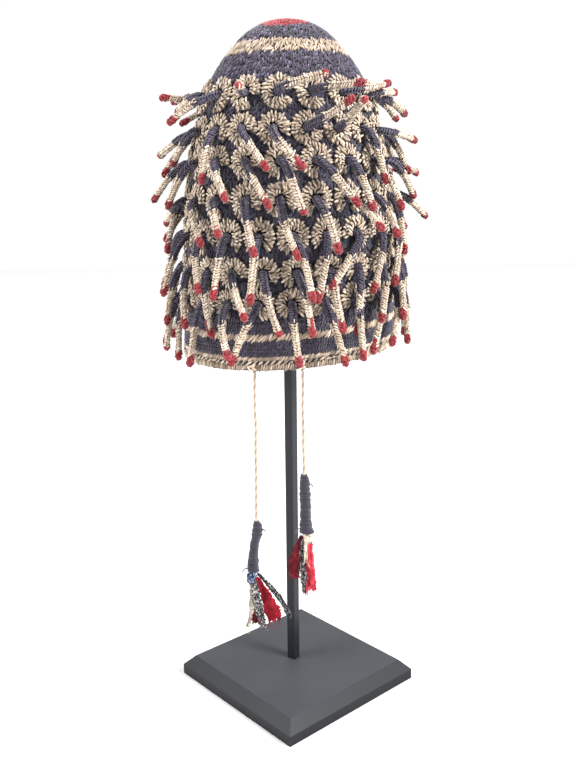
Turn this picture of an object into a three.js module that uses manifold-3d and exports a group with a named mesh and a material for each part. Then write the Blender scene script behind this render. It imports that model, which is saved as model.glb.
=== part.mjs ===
import * as THREE from 'three';
import { mergeVertices } from 'three/addons/utils/BufferGeometryUtils.js';
import Module from 'manifold-3d';

// A tall crocheted prestige hat, covered with raised stitched rings that each carry a crocheted burl,
// on the plain stand that holds it. Two strings with tassels hang from the front of its rim.
// Millimetres, +Z up. The origin is under the middle of the stand's plate and the hat's front faces -Y.

const wasm = await Module();
wasm.setup();

const radians = THREE.MathUtils.degToRad;

// Gap that is kept between two pieces that meet
const clearance = 0.3;

// Stand
const plateSide = 152.4;
const plateThickness = 18.7;
const plateEdgeHeight = 9.3;
const plateBevelInset = 8.7;
const plateTurn = 41.4;
const poleSide = 8;
const poleTurn = -34;
const poleLetIn = 12;
const axisX = -2.7;
const axisY = 1.7;

// Cap
const rimHeight = 320;
const capHeight = 261.3;
const rimRadius = 91.5;
const capWall = 3;
const rimTiltSideways = 0.061;
const rimTiltForward = 0.048;
const rimTiltReach = 0.6;
const hatSides = 28;

// Outer surface of the cap from rim to crown: height as a share of capHeight, radius of rimRadius
const capSections = [
  { height: 0, radius: 1 },
  { height: 0.14, radius: 0.968 },
  { height: 0.34, radius: 0.934 },
  { height: 0.585, radius: 0.866 },
  { height: 0.69, radius: 0.79 },
  { height: 0.75, radius: 0.757 },
  { height: 0.81, radius: 0.692 },
  { height: 0.87, radius: 0.59 },
  { height: 0.92, radius: 0.474 },
  { height: 0.962, radius: 0.345 },
  { height: 0.988, radius: 0.205 },
  { height: 1, radius: 0 },
];

// Field of raised rings round the cap, and the burls that grow from the rings. The field's bottom and top
// are shares of capHeight, and burlRiseShare is how far a burl rises before it bends, of its length.
const ringRelief = 2.2;
const fieldBottomShare = 0.14;
const fieldTopShare = 0.81;
const burlLength = 50;
const burlRadius = 3.5;
const burlRoot = 1;
const burlRiseShare = 0.2;
const burlSides = 5;

// One entry for each row of burls, from the crown down. height is a share of capHeight, reach a share
// of burlLength. turn is the first ring's place round the hat in degrees, 0 in front and positive to
// the right. hang gives, ring by ring from there, how each burl lies, in degrees: first its lean,
// 0 straight down and positive to the right, then its lift away from the hat. The rings round the back
// lean and lift at random within leanSpread and liftRange.
const burlRows = [
  { height: 0.767, rings: 17, turn: -90.5, reach: 0.9, leanSpread: 110, liftRange: [14, 40],
    hang: [[-78, 36], [-74, 10], [-44, 26], [54, 60], [92, 32], [72, 50], [98, 8], [92, 8], [62, 24], [50, 34]] },
  { height: 0.666, rings: 19, turn: -83.8, reach: 0.92, leanSpread: 60, liftRange: [14, 34],
    hang: [[-52, 32], [-54, 6], [10, 14], [42, 10], [36, 20], [110, 52], [-142, 80], [4, 12], [72, 24], [26, 20]] },
  { height: 0.576, rings: 19, turn: -79.8, reach: 0.96, leanSpread: 45, liftRange: [12, 32],
    hang: [[-34, 28], [-40, 8], [46, 20], [38, 16], [24, 18], [34, 22], [-2, 30], [-8, 28], [46, 14], [66, 36]] },
  { height: 0.472, rings: 20, turn: -76, reach: 0.97, leanSpread: 45, liftRange: [12, 34],
    hang: [[-62, 12], [44, 12], [48, 34], [22, 24], [18, 18], [12, 32], [-2, 58], [-30, 42], [-4, 14], [54, 38]] },
  { height: 0.372, rings: 21, turn: -66.6, reach: 1.06, leanSpread: 32, liftRange: [10, 26],
    hang: [[-2, 22], [32, 24], [8, 30], [0, 24], [16, 22], [-16, 14], [-40, 8], [-28, 8], [-34, 8], [30, 8]] },
  { height: 0.272, rings: 22, turn: -78.3, reach: 1.04, leanSpread: 30, liftRange: [10, 24],
    hang: [[-10, 14], [30, 16], [20, 10], [44, 34], [22, 24], [12, 26], [-2, 32], [-12, 10], [-32, 18], [-24, 14],
      [24, 8]] },
  { height: 0.186, rings: 22, turn: -80.8, reach: 1.04, leanSpread: 24, liftRange: [10, 22],
    hang: [[-12, 14], [22, 16], [4, 18], [30, 34], [-18, 30], [6, 32], [10, 22], [-14, 26], [-30, 12], [-34, 8],
      [-14, 8]] },
];

// Thickness of a burl along its length: along is a share of its length, thickness of burlRadius
const burlSections = [
  { along: 0, thickness: 1 },
  { along: 0.42, thickness: 0.98 },
  { along: 0.86, thickness: 0.88 },
  { along: 1, thickness: 0.75 },
];

// Hidden support on the pole's top, under the crown. supportEdgeShare is its edge's height, of capHeight.
const supportEdgeShare = 0.8;
const supportThickness = 7;
const supportHubRadius = 14;
const supportHubDepth = 24;
const supportSocketDepth = 18;

// Strings: turn is where they leave the rim, in degrees round the hat. The points are offsets from
// there, chosen by hand: to the right, away from the hat, and down. A string's top is cut level and the
// rim slopes, so the gap between them is a little more than the clearance.
const stringDiameter = 2.4;
const stringTopGap = 0.4;
const stringSides = 8;
const stringStep = 7;
const strings = {
  left: {
    turn: -18,
    points: [[0, 0, 0], [-0.1, 0, 8], [-0.3, -0.1, 16], [-0.4, -0.2, 24], [-0.3, -0.1, 32], [-0.1, 0.1, 40],
      [-0.1, 0.2, 48], [-0.3, 0.1, 56], [-0.5, -0.1, 64], [-0.6, -0.2, 72], [-0.5, -0.1, 80], [-0.5, 0, 88],
      [-0.6, 0.1, 96], [-0.8, 0.1, 104], [-0.9, 0, 113], [-0.9, 0, 123]],
  },
  right: {
    turn: 5.8,
    points: [[0, 0, 0], [0.1, 0, 6], [0.2, 0.1, 12], [0.2, 0.2, 18], [0, 0.2, 24], [-0.1, 0.1, 30],
      [0, 0, 36], [0.2, -0.1, 42], [0.3, -0.1, 48], [0.3, 0, 54], [0.2, 0.1, 60], [0.3, 0.1, 66],
      [0.4, 0, 72], [0.5, 0, 79], [0.5, 0, 85]],
  },
};

// Tassels. A head is the wrapped stretch of the cord: side and drop are shares of its length and
// thickness is a share of its radius. Strips are torn cloth: side, out, drop and width are shares of
// the strips' length.
const tasselSides = 8;
const stripThickness = 1.4;
const tassels = {
  left: {
    headLength: 43,
    headRadius: 4.6,
    head: [
      { side: 0, drop: 0, thickness: 0.55 },
      { side: 0.01, drop: 0.09, thickness: 0.8 },
      { side: 0.01, drop: 0.24, thickness: 0.95 },
      { side: -0.05, drop: 0.48, thickness: 0.82 },
      { side: -0.08, drop: 0.78, thickness: 0.98 },
      { side: -0.08, drop: 1, thickness: 1.08 },
    ],
    stripsLength: 50,
    knot: [
      { side: 0, drop: 0, thickness: 0.8 },
      { side: -0.03, drop: 0.08, thickness: 1 },
      { side: -0.03, drop: 0.19, thickness: 0.85 },
      { side: -0.02, drop: 0.24, thickness: 0.6 },
    ],
    strips: [
      [{ side: 0.01, out: -0.02, drop: 0.14, width: 0.08 }, { side: 0.03, out: -0.02, drop: 0.6, width: 0.12 },
        { side: 0.04, out: 0, drop: 0.96, width: 0.16 }],
      [{ side: 0.06, out: 0.03, drop: 0.1, width: 0.06 }, { side: 0.19, out: 0.05, drop: 0.39, width: 0.18 },
        { side: 0.29, out: 0.05, drop: 0.7, width: 0.25 }, { side: 0.33, out: 0.05, drop: 0.91, width: 0.21 }],
      [{ side: 0, out: 0.06, drop: 0.14, width: 0.12 }, { side: 0.03, out: 0.09, drop: 0.39, width: 0.14 },
        { side: 0.08, out: 0.11, drop: 0.62, width: 0.14 }, { side: 0.16, out: 0.12, drop: 0.98, width: 0.11 }],
      [{ side: -0.03, out: 0.03, drop: 0.14, width: 0.09 }, { side: -0.04, out: 0.02, drop: 0.6, width: 0.09 },
        { side: -0.06, out: 0, drop: 0.8, width: 0.07 }, { side: -0.12, out: -0.02, drop: 1.02, width: 0.07 }],
      [{ side: 0.06, out: -0.03, drop: 0.05, width: 0.06 }, { side: 0.27, out: -0.06, drop: 0.32, width: 0.1 },
        { side: 0.5, out: -0.08, drop: 0.68, width: 0.1 }, { side: 0.57, out: -0.09, drop: 0.85, width: 0.1 }],
    ],
  },
  right: {
    headLength: 48,
    headRadius: 5.2,
    head: [
      { side: 0, drop: 0, thickness: 0.58 },
      { side: 0.01, drop: 0.14, thickness: 0.74 },
      { side: 0.02, drop: 0.5, thickness: 0.86 },
      { side: 0.02, drop: 0.76, thickness: 0.87 },
      { side: 0.04, drop: 1, thickness: 1.08 },
    ],
    stripsLength: 54,
    knot: [
      { side: 0.01, drop: 0, thickness: 0.75 },
      { side: 0.02, drop: 0.06, thickness: 0.95 },
      { side: 0.02, drop: 0.13, thickness: 0.85 },
      { side: 0.01, drop: 0.18, thickness: 0.6 },
    ],
    strips: [
      [{ side: -0.06, out: 0.01, drop: 0.05, width: 0.07 }, { side: -0.15, out: 0.03, drop: 0.24, width: 0.1 },
        { side: -0.19, out: 0.04, drop: 0.4, width: 0.16 }, { side: -0.19, out: 0.04, drop: 0.74, width: 0.16 }],
      [{ side: -0.05, out: 0.02, drop: 0.1, width: 0.07 }, { side: -0.07, out: 0.03, drop: 0.45, width: 0.1 },
        { side: -0.05, out: 0.03, drop: 0.75, width: 0.1 }, { side: -0.03, out: 0.02, drop: 0.99, width: 0.08 }],
      [{ side: 0.03, out: 0, drop: 0.1, width: 0.09 }, { side: 0.03, out: 0.02, drop: 0.43, width: 0.13 },
        { side: 0.05, out: 0.03, drop: 0.75, width: 0.15 }, { side: 0.06, out: 0.03, drop: 0.97, width: 0.16 }],
      [{ side: 0.03, out: 0.05, drop: 0.1, width: 0.06 }, { side: 0.06, out: 0.07, drop: 0.45, width: 0.08 },
        { side: 0.09, out: 0.07, drop: 0.85, width: 0.09 }],
      [{ side: -0.02, out: 0.05, drop: 0.1, width: 0.05 }, { side: -0.02, out: 0.09, drop: 0.42, width: 0.05 }],
    ],
  },
};

const colours = {
  navy: 0x4a4963,
  natural: 0xd8cba8,
  red: 0xb8262f,
  charcoal: 0x303134,
  black: 0x2a2b2d,
};

// Geometry helpers

function interpolate(table, from, to, value) {
  const rows = [...table].sort((a, b) => a[from] - b[from]);
  const clamped = Math.min(Math.max(value, rows[0][from]), rows.at(-1)[from]);
  const next = Math.max(1, rows.findIndex((row) => row[from] >= clamped));
  const a = rows[next - 1];
  const b = rows[next];
  return THREE.MathUtils.mapLinear(clamped, a[from], b[from], a[to], b[to]);
}

function merged(geometry) {
  geometry.deleteAttribute('normal');
  geometry.deleteAttribute('uv');
  const joined = mergeVertices(geometry, 1e-4);
  const kept = [];
  const index = joined.index.array;
  for (let i = 0; i < index.length; i += 3) {
    const [a, b, c] = [index[i], index[i + 1], index[i + 2]];
    if (a !== b && b !== c && c !== a) kept.push(a, b, c);
  }
  joined.setIndex(kept);
  return joined;
}

function toSolid(geometry) {
  const joined = merged(geometry);
  return new wasm.Manifold(new wasm.Mesh({
    numProp: 3,
    vertProperties: joined.attributes.position.array,
    triVerts: new Uint32Array(joined.index.array),
  }));
}

function toGeometry(solid) {
  const mesh = solid.getMesh();
  const geometry = new THREE.BufferGeometry();
  geometry.setAttribute('position', new THREE.BufferAttribute(mesh.vertProperties, 3));
  geometry.setIndex(new THREE.BufferAttribute(mesh.triVerts, 1));
  geometry.computeVertexNormals();
  return geometry;
}

function union(geometries) {
  return toGeometry(geometries.map(toSolid).reduce((whole, piece) => whole.add(piece)));
}

// Closed surface through rings of points that all have the same number of points
function loft(rings) {
  const sides = rings[0].length;
  const index = [];
  const lastRing = (rings.length - 1) * sides;
  for (let side = 0; side < sides; side++) {
    const next = (side + 1) % sides;
    for (let ring = 0; ring < rings.length - 1; ring++) {
      const low = ring * sides;
      const high = low + sides;
      index.push(low + side, low + next, high + next, low + side, high + next, high + side);
    }
  }
  for (let side = 1; side < sides - 1; side++) {
    index.push(0, side + 1, side, lastRing, lastRing + side, lastRing + side + 1);
  }
  const geometry = new THREE.BufferGeometry().setFromPoints(rings.flat());
  geometry.setIndex(index);
  geometry.computeVertexNormals();
  return geometry;
}

// Ring of points round a centre, in the plane of two axes
function roundSection(centre, across, along, radius, sides) {
  return Array.from({ length: sides }, (_, side) => {
    const angle = (side / sides) * 2 * Math.PI;
    return centre.clone()
      .addScaledVector(across, radius * Math.cos(angle))
      .addScaledVector(along, radius * Math.sin(angle));
  });
}

// Surface of revolution about +Z of a profile of (radius, height) points, first side in front
function revolve(profile) {
  return new THREE.LatheGeometry(profile, hatSides).rotateX(Math.PI / 2);
}

function addMesh(group, name, geometry, colour, roughness, metalness = 0) {
  const material = new THREE.MeshStandardMaterial({ color: colour, roughness, metalness });
  const mesh = new THREE.Mesh(geometry, material);
  mesh.name = name;
  group.add(mesh);
  return mesh;
}

// Cap

function capPointInProfile(height) {
  const radius = interpolate(capSections, 'height', 'radius', height) * rimRadius;
  return new THREE.Vector2(radius, height * capHeight);
}

// Outer profile of the cap between two heights, moved outwards along its own normals
function capProfile(offset, bottom, top) {
  const heights = [bottom, ...capSections.map((row) => row.height), top];
  const kept = [...new Set(heights.filter((height) => height >= bottom && height <= top))].sort((a, b) => a - b);
  const points = kept.map((height) => capPointInProfile(height));
  return points.map((point, i) => {
    const before = points[Math.max(i - 1, 0)];
    const after = points[Math.min(i + 1, points.length - 1)];
    const along = after.clone().sub(before).normalize();
    const normal = point.x === 0 ? new THREE.Vector2(0, 1) : new THREE.Vector2(along.y, -along.x);
    return point.clone().addScaledVector(normal, offset);
  });
}

// The rim dips to the front left: heights shift most at the rim and not at all above rimTiltReach
function tiltShift(x, y, z) {
  const share = Math.max(0, 1 - z / capHeight / rimTiltReach);
  return (rimTiltSideways * x + rimTiltForward * y) * share;
}

function tilted(geometry) {
  const position = geometry.attributes.position;
  for (let i = 0; i < position.count; i++) {
    const [x, y, z] = [position.getX(i), position.getY(i), position.getZ(i)];
    position.setZ(i, z + tiltShift(x, y, z));
  }
  return geometry;
}

function capGeometry() {
  const outer = capProfile(0, 0, 1);
  const inner = capProfile(-capWall, 0, 1);
  inner[0].y = 0;
  return tilted(revolve([...inner.reverse(), ...outer]));
}

// Rings and burls

// Place on the raised rings' surface, with its outward, sideways and downward directions
function placeOnRings(height, turn) {
  const step = 0.01;
  const below = capPointInProfile(height - step);
  const above = capPointInProfile(height + step);
  const slope = above.clone().sub(below).normalize();
  const angle = radians(turn);
  const away = new THREE.Vector3(Math.sin(angle), -Math.cos(angle), 0);
  const side = new THREE.Vector3(Math.cos(angle), Math.sin(angle), 0);
  const normal = away.clone().multiplyScalar(slope.y).add(new THREE.Vector3(0, 0, -slope.x));
  const down = away.clone().multiplyScalar(-slope.x).add(new THREE.Vector3(0, 0, -slope.y));
  const middle = capPointInProfile(height);
  const base = away.clone().multiplyScalar(middle.x);
  base.z = middle.y + tiltShift(base.x, base.y, middle.y);
  base.addScaledVector(normal, clearance + ringRelief);
  return { base, normal, side, down };
}

// A burl leaves its ring at right angles, then bends over to its lean and lift
function burlGeometry(place, lean, lift, length) {
  const hang = place.down.clone().multiplyScalar(Math.cos(radians(lean)))
    .addScaledVector(place.side, Math.sin(radians(lean)));
  const root = place.base.clone().addScaledVector(place.normal, -burlRoot);
  const knee = place.base.clone().addScaledVector(place.normal, length * burlRiseShare);
  const tip = place.base.clone()
    .addScaledVector(hang, length * Math.cos(radians(lift)))
    .addScaledVector(place.normal, length * Math.sin(radians(lift)));
  const path = new THREE.QuadraticBezierCurve3(root, knee, tip);
  const across = new THREE.Vector3().crossVectors(place.normal, hang).normalize();
  return loft(burlSections.map((section) => {
    const centre = path.getPoint(section.along);
    const forward = path.getTangent(section.along);
    const upright = new THREE.Vector3().crossVectors(forward, across);
    return roundSection(centre, across, upright, section.thickness * burlRadius, burlSides);
  }));
}

// Repeatable random numbers from 0 to 1
function randomNumbers(seed) {
  let state = seed;
  return () => {
    state = (state * 1103515245 + 12345) % 2147483648;
    return state / 2147483648;
  };
}

function burlFieldGeometry() {
  const random = randomNumbers(7);
  const outer = capProfile(clearance + ringRelief, fieldBottomShare, fieldTopShare);
  const inner = capProfile(clearance, fieldBottomShare, fieldTopShare);
  const backing = tilted(revolve([...outer, ...inner.reverse(), outer[0]]));
  const burls = burlRows.flatMap((row) => Array.from({ length: row.rings }, (_, ring) => {
    const turn = row.turn + (ring * 360) / row.rings;
    const anyLean = THREE.MathUtils.lerp(-row.leanSpread, row.leanSpread, random());
    const anyLift = THREE.MathUtils.lerp(row.liftRange[0], row.liftRange[1], random());
    const [lean, lift] = row.hang[ring] ?? [anyLean, anyLift];
    return burlGeometry(placeOnRings(row.height, turn), lean, lift, burlLength * row.reach);
  }));
  return union([backing, ...burls]);
}

// Stand

function plateGeometry() {
  const square = (half, z) => [[-1, -1], [1, -1], [1, 1], [-1, 1]]
    .map(([x, y]) => new THREE.Vector3(x * half, y * half, z));
  const edge = plateSide / 2;
  const face = edge - plateBevelInset;
  const block = loft([square(edge, 0), square(edge, plateEdgeHeight), square(face, plateThickness)]);
  block.rotateZ(radians(plateTurn));
  const socketSide = poleSide + 2 * clearance;
  const socket = new THREE.BoxGeometry(socketSide, socketSide, 2 * poleLetIn);
  socket.rotateZ(radians(poleTurn));
  socket.translate(axisX, axisY, plateThickness);
  return toGeometry(toSolid(block).subtract(toSolid(socket)));
}

// The support's dome follows the inside of the crown, and its hub reaches down below the dome's edge
const supportDome = capProfile(-capWall - clearance, supportEdgeShare, 1);
const supportUnderside = supportDome[0].y - supportThickness - supportHubDepth;

function supportGeometry() {
  const edge = supportDome[0];
  const profile = [
    new THREE.Vector2(0, supportUnderside),
    new THREE.Vector2(supportHubRadius, supportUnderside),
    new THREE.Vector2(supportHubRadius, edge.y - supportThickness),
    new THREE.Vector2(edge.x, edge.y - supportThickness),
    ...supportDome,
  ];
  const socketSide = poleSide + 2 * clearance;
  const socket = new THREE.BoxGeometry(socketSide, socketSide, 2 * supportSocketDepth);
  socket.rotateZ(radians(poleTurn));
  socket.translate(0, 0, supportUnderside);
  return toGeometry(toSolid(revolve(profile)).subtract(toSolid(socket)));
}

function poleGeometry() {
  const bottom = plateThickness - poleLetIn + clearance;
  const top = rimHeight + supportUnderside + supportSocketDepth - clearance;
  const bar = new THREE.BoxGeometry(poleSide, poleSide, top - bottom);
  bar.rotateZ(radians(poleTurn));
  return bar.translate(axisX, axisY, (top + bottom) / 2);
}

// Strings and tassels

function stringPoints({ turn, points }) {
  const angle = radians(turn);
  const reach = rimRadius - capWall / 2;
  const x = reach * Math.sin(angle);
  const y = -reach * Math.cos(angle);
  const start = new THREE.Vector3(x, y, tiltShift(x, y, 0) - stringTopGap);
  return points.map(([side, out, drop]) => start.clone().add(new THREE.Vector3(side, -out, -drop)));
}

function stringGeometry(string) {
  const points = stringPoints(string);
  const path = new THREE.CatmullRomCurve3(points);
  const corners = roundSection(
    new THREE.Vector3(), new THREE.Vector3(1, 0, 0), new THREE.Vector3(0, 1, 0), stringDiameter / 2, stringSides,
  );
  const section = new THREE.Shape(corners.map((corner) => new THREE.Vector2(corner.x, corner.y)));
  return new THREE.ExtrudeGeometry(section, {
    steps: Math.round(path.getLength() / stringStep), extrudePath: path, bevelEnabled: false,
  });
}

// Upright tapered roll below a point
function rollGeometry(top, sections, length, radius) {
  const x = new THREE.Vector3(1, 0, 0);
  const y = new THREE.Vector3(0, -1, 0);
  return loft(sections.map(({ side, drop, thickness }) => {
    const centre = top.clone().add(new THREE.Vector3(side * length, 0, -drop * length));
    return roundSection(centre, x, y, thickness * radius, tasselSides);
  }));
}

function stripGeometry(top, sections, length) {
  const half = stripThickness / 2;
  return loft(sections.map(({ side, out, drop, width }) => {
    const centre = top.clone().add(new THREE.Vector3(side * length, -out * length, -drop * length));
    const reach = (width * length) / 2;
    return [[-1, 1], [1, 1], [1, -1], [-1, -1]].map(([across, through]) =>
      centre.clone().add(new THREE.Vector3(across * reach, through * half, 0)));
  }));
}

function addTassel(hat, name, string, tassel) {
  const gap = new THREE.Vector3(0, 0, -clearance);
  const headTop = stringPoints(string).at(-1).add(gap);
  const head = rollGeometry(headTop, tassel.head, tassel.headLength, tassel.headRadius);
  addMesh(hat, `tassel_sleeve_${name}`, head, colours.navy, 0.9);
  const lowest = tassel.head.at(-1);
  const stripsTop = headTop.clone()
    .add(new THREE.Vector3(lowest.side * tassel.headLength, 0, -lowest.drop * tassel.headLength))
    .add(gap);
  const knot = rollGeometry(stripsTop, tassel.knot, tassel.stripsLength, tassel.headRadius);
  const strips = tassel.strips.map((strip) => stripGeometry(stripsTop, strip, tassel.stripsLength));
  addMesh(hat, `tassel_strips_${name}`, union([knot, ...strips]), colours.red, 0.9);
}

// Assembly

const prestigeHat = new THREE.Group();
addMesh(prestigeHat, 'stand_base', plateGeometry(), colours.charcoal, 0.45);
addMesh(prestigeHat, 'stand_pole', poleGeometry(), colours.black, 0.5, 0.2);

const hat = new THREE.Group();
hat.position.set(axisX, axisY, rimHeight);
prestigeHat.add(hat);
addMesh(hat, 'hat_support', supportGeometry(), colours.charcoal, 0.8);
addMesh(hat, 'cap', capGeometry(), colours.navy, 0.9);
addMesh(hat, 'burl_field', burlFieldGeometry(), colours.natural, 0.9);
for (const side of ['left', 'right']) {
  addMesh(hat, `string_${side}`, stringGeometry(strings[side]), colours.natural, 0.9);
  addTassel(hat, side, strings[side], tassels[side]);
}

export default prestigeHat;
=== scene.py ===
"""The looks of a tall crocheted prestige hat on its plain stand.

Sizes are in millimetres and turned into metres where a mesh is made. Points on the hat are worked out in
the hat's own frame, with the origin in the middle of its rim, as in the part's source.
"""

import math
from collections import namedtuple

import bpy
import numpy as np
from mathutils import Euler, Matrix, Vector


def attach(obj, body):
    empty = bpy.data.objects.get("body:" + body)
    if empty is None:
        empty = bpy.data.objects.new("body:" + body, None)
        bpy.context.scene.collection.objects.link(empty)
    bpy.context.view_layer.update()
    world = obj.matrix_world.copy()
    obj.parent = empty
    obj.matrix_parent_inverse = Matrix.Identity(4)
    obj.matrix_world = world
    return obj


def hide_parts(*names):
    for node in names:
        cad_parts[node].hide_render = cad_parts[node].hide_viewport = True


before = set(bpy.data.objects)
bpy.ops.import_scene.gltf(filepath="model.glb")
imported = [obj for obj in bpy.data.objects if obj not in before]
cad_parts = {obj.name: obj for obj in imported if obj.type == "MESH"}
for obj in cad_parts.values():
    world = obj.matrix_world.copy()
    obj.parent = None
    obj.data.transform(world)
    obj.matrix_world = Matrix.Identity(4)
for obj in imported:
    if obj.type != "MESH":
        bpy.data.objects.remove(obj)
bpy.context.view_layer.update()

MM = 0.001

# Cap, as in the part's source
HAT_ORIGIN = np.array([-2.7, 1.7, 320])
CAP_HEIGHT = 261.3
RIM_RADIUS = 91.5
CAP_WALL = 3
RIM_TILT_SIDEWAYS = 0.061
RIM_TILT_FORWARD = 0.048
RIM_TILT_REACH = 0.6

# Sections of the cap from rim to crown: height as a share of CAP_HEIGHT, radius of RIM_RADIUS
CAP_SECTIONS = [
    (0, 1), (0.14, 0.968), (0.34, 0.934), (0.585, 0.866), (0.69, 0.79), (0.75, 0.757),
    (0.81, 0.692), (0.87, 0.59), (0.92, 0.474), (0.962, 0.345), (0.988, 0.205), (1, 0),
]

# Rings and burls, as in the part's source. turn is the first ring's place round the hat, 0 in front and
# positive to the right. hang gives each burl's lean, 0 straight down and positive to the right, and its
# lift away from the hat, both in degrees. The rings round the back lean and lift at random. RING_RELIEF
# holds the clearance too.
RING_RELIEF = 2.5
BURL_LENGTH = 50
BURL_RADIUS = 3.5
BURL_ROOT = 1
BURL_RISE_SHARE = 0.2
BurlRow = namedtuple("BurlRow", "height rings turn reach lean_spread lift_range hang")
BURL_ROWS = [
    BurlRow(0.767, 17, -90.5, 0.9, 110, (14, 40), [
        (-78, 36), (-74, 10), (-44, 26), (54, 60), (92, 32), (72, 50), (98, 8), (92, 8), (62, 24), (50, 34)]),
    BurlRow(0.666, 19, -83.8, 0.92, 60, (14, 34), [
        (-52, 32), (-54, 6), (10, 14), (42, 10), (36, 20), (110, 52), (-142, 80), (4, 12), (72, 24),
        (26, 20)]),
    BurlRow(0.576, 19, -79.8, 0.96, 45, (12, 32), [
        (-34, 28), (-40, 8), (46, 20), (38, 16), (24, 18), (34, 22), (-2, 30), (-8, 28), (46, 14),
        (66, 36)]),
    BurlRow(0.472, 20, -76, 0.97, 45, (12, 34), [
        (-62, 12), (44, 12), (48, 34), (22, 24), (18, 18), (12, 32), (-2, 58), (-30, 42), (-4, 14),
        (54, 38)]),
    BurlRow(0.372, 21, -66.6, 1.06, 32, (10, 26), [
        (-2, 22), (32, 24), (8, 30), (0, 24), (16, 22), (-16, 14), (-40, 8), (-28, 8), (-34, 8), (30, 8)]),
    BurlRow(0.272, 22, -78.3, 1.04, 30, (10, 24), [
        (-10, 14), (30, 16), (20, 10), (44, 34), (22, 24), (12, 26), (-2, 32), (-12, 10), (-32, 18),
        (-24, 14), (24, 8)]),
    BurlRow(0.186, 22, -80.8, 1.04, 24, (10, 22), [
        (-12, 14), (22, 16), (4, 18), (30, 34), (-18, 30), (6, 32), (10, 22), (-14, 26), (-30, 12),
        (-34, 8), (-14, 8)]),
]

# Thickness of a burl along its length: the share of its length, then the share of BURL_RADIUS
BURL_SECTIONS = [(0, 1), (0.4, 0.99), (0.47, 0.86), (0.84, 0.84), (0.91, 1), (1, 1)]

# Crochet courses from the rim to the crown, one entry for each run of like courses. length is the whole
# run's length up the cap, pitch the width of a stitch and slant its lean from upright in degrees.
Run = namedtuple("Run", "piece yarn courses length pitch slant relief")
COURSES = [
    Run("border", "natural", 1, 4.4, 1.9, 14, 1.6),
    Run("border", "dashed", 1, 3, 2.4, 60, 2),
    Run("border", "natural", 1, 2.8, 2.2, 46, 1.4),
    Run("border", "navy", 4, 11.6, 2, 20, 0.9),
    Run("border", "natural", 1, 5.2, 2.2, 40, 1.5),
    Run("border", "navy", 3, 7.8, 2.2, 22, 1),
    Run("ground", "navy", 50, 180, 2.9, 25, 1.5),
    Run("crown", "navy", 8, 24, 1.9, 20, 1.4),
    Run("crown", "natural", 3, 13, 1.9, 16, 1.5),
    Run("crown", "navy", 15, 47.2, 2, 24, 1.4),
]

# The red middle of the crown, a little to the front left of the hat's axis
RED_CENTRE = (-2, -10)
RED_RADIUS = 18.5

# A ring is a padded roll with three bands of looped stitches. start and end are shares of the ring's reach,
# swirl is their turn out of the radial direction in degrees, rise their height over the cap and half_width
# the half width of a stitch.
RING_HALF_WIDTH = 12.4
RING_HALF_HEIGHT = 14
RING_OVERLAP = 0.9
RING_GAP = 30
Band = namedtuple("Band", "start end stitches swirl rise half_width")
RING_BANDS = [
    Band(0.3, 0.64, 16, -24, 1.9, 0.85),
    Band(0.5, 0.84, 21, 24, 2.2, 1),
    Band(0.7, 1.04, 25, 10, 1.4, 1.15),
]

# Rounds and strands of a burl
BURL_ROUND = 2.1
BURL_STRANDS = 5
NAVY_SHARE = 0.41
RED_LENGTH = 7.6

# Strings and tassels, as in the part's source
STRING_DIAMETER = 2.4
STRING_TOP_GAP = 0.4
CLEARANCE = 0.3
STRINGS = {
    "left": {
        "turn": -18,
        "points": [(0, 0, 0), (-0.1, 0, 8), (-0.3, -0.1, 16), (-0.4, -0.2, 24), (-0.3, -0.1, 32),
                   (-0.1, 0.1, 40), (-0.1, 0.2, 48), (-0.3, 0.1, 56), (-0.5, -0.1, 64), (-0.6, -0.2, 72),
                   (-0.5, -0.1, 80), (-0.5, 0, 88), (-0.6, 0.1, 96), (-0.8, 0.1, 104), (-0.9, 0, 113),
                   (-0.9, 0, 123)],
    },
    "right": {
        "turn": 5.8,
        "points": [(0, 0, 0), (0.1, 0, 6), (0.2, 0.1, 12), (0.2, 0.2, 18), (0, 0.2, 24), (-0.1, 0.1, 30),
                   (0, 0, 36), (0.2, -0.1, 42), (0.3, -0.1, 48), (0.3, 0, 54), (0.2, 0.1, 60), (0.3, 0.1, 66),
                   (0.4, 0, 72), (0.5, 0, 79), (0.5, 0, 85)],
    },
}

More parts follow.
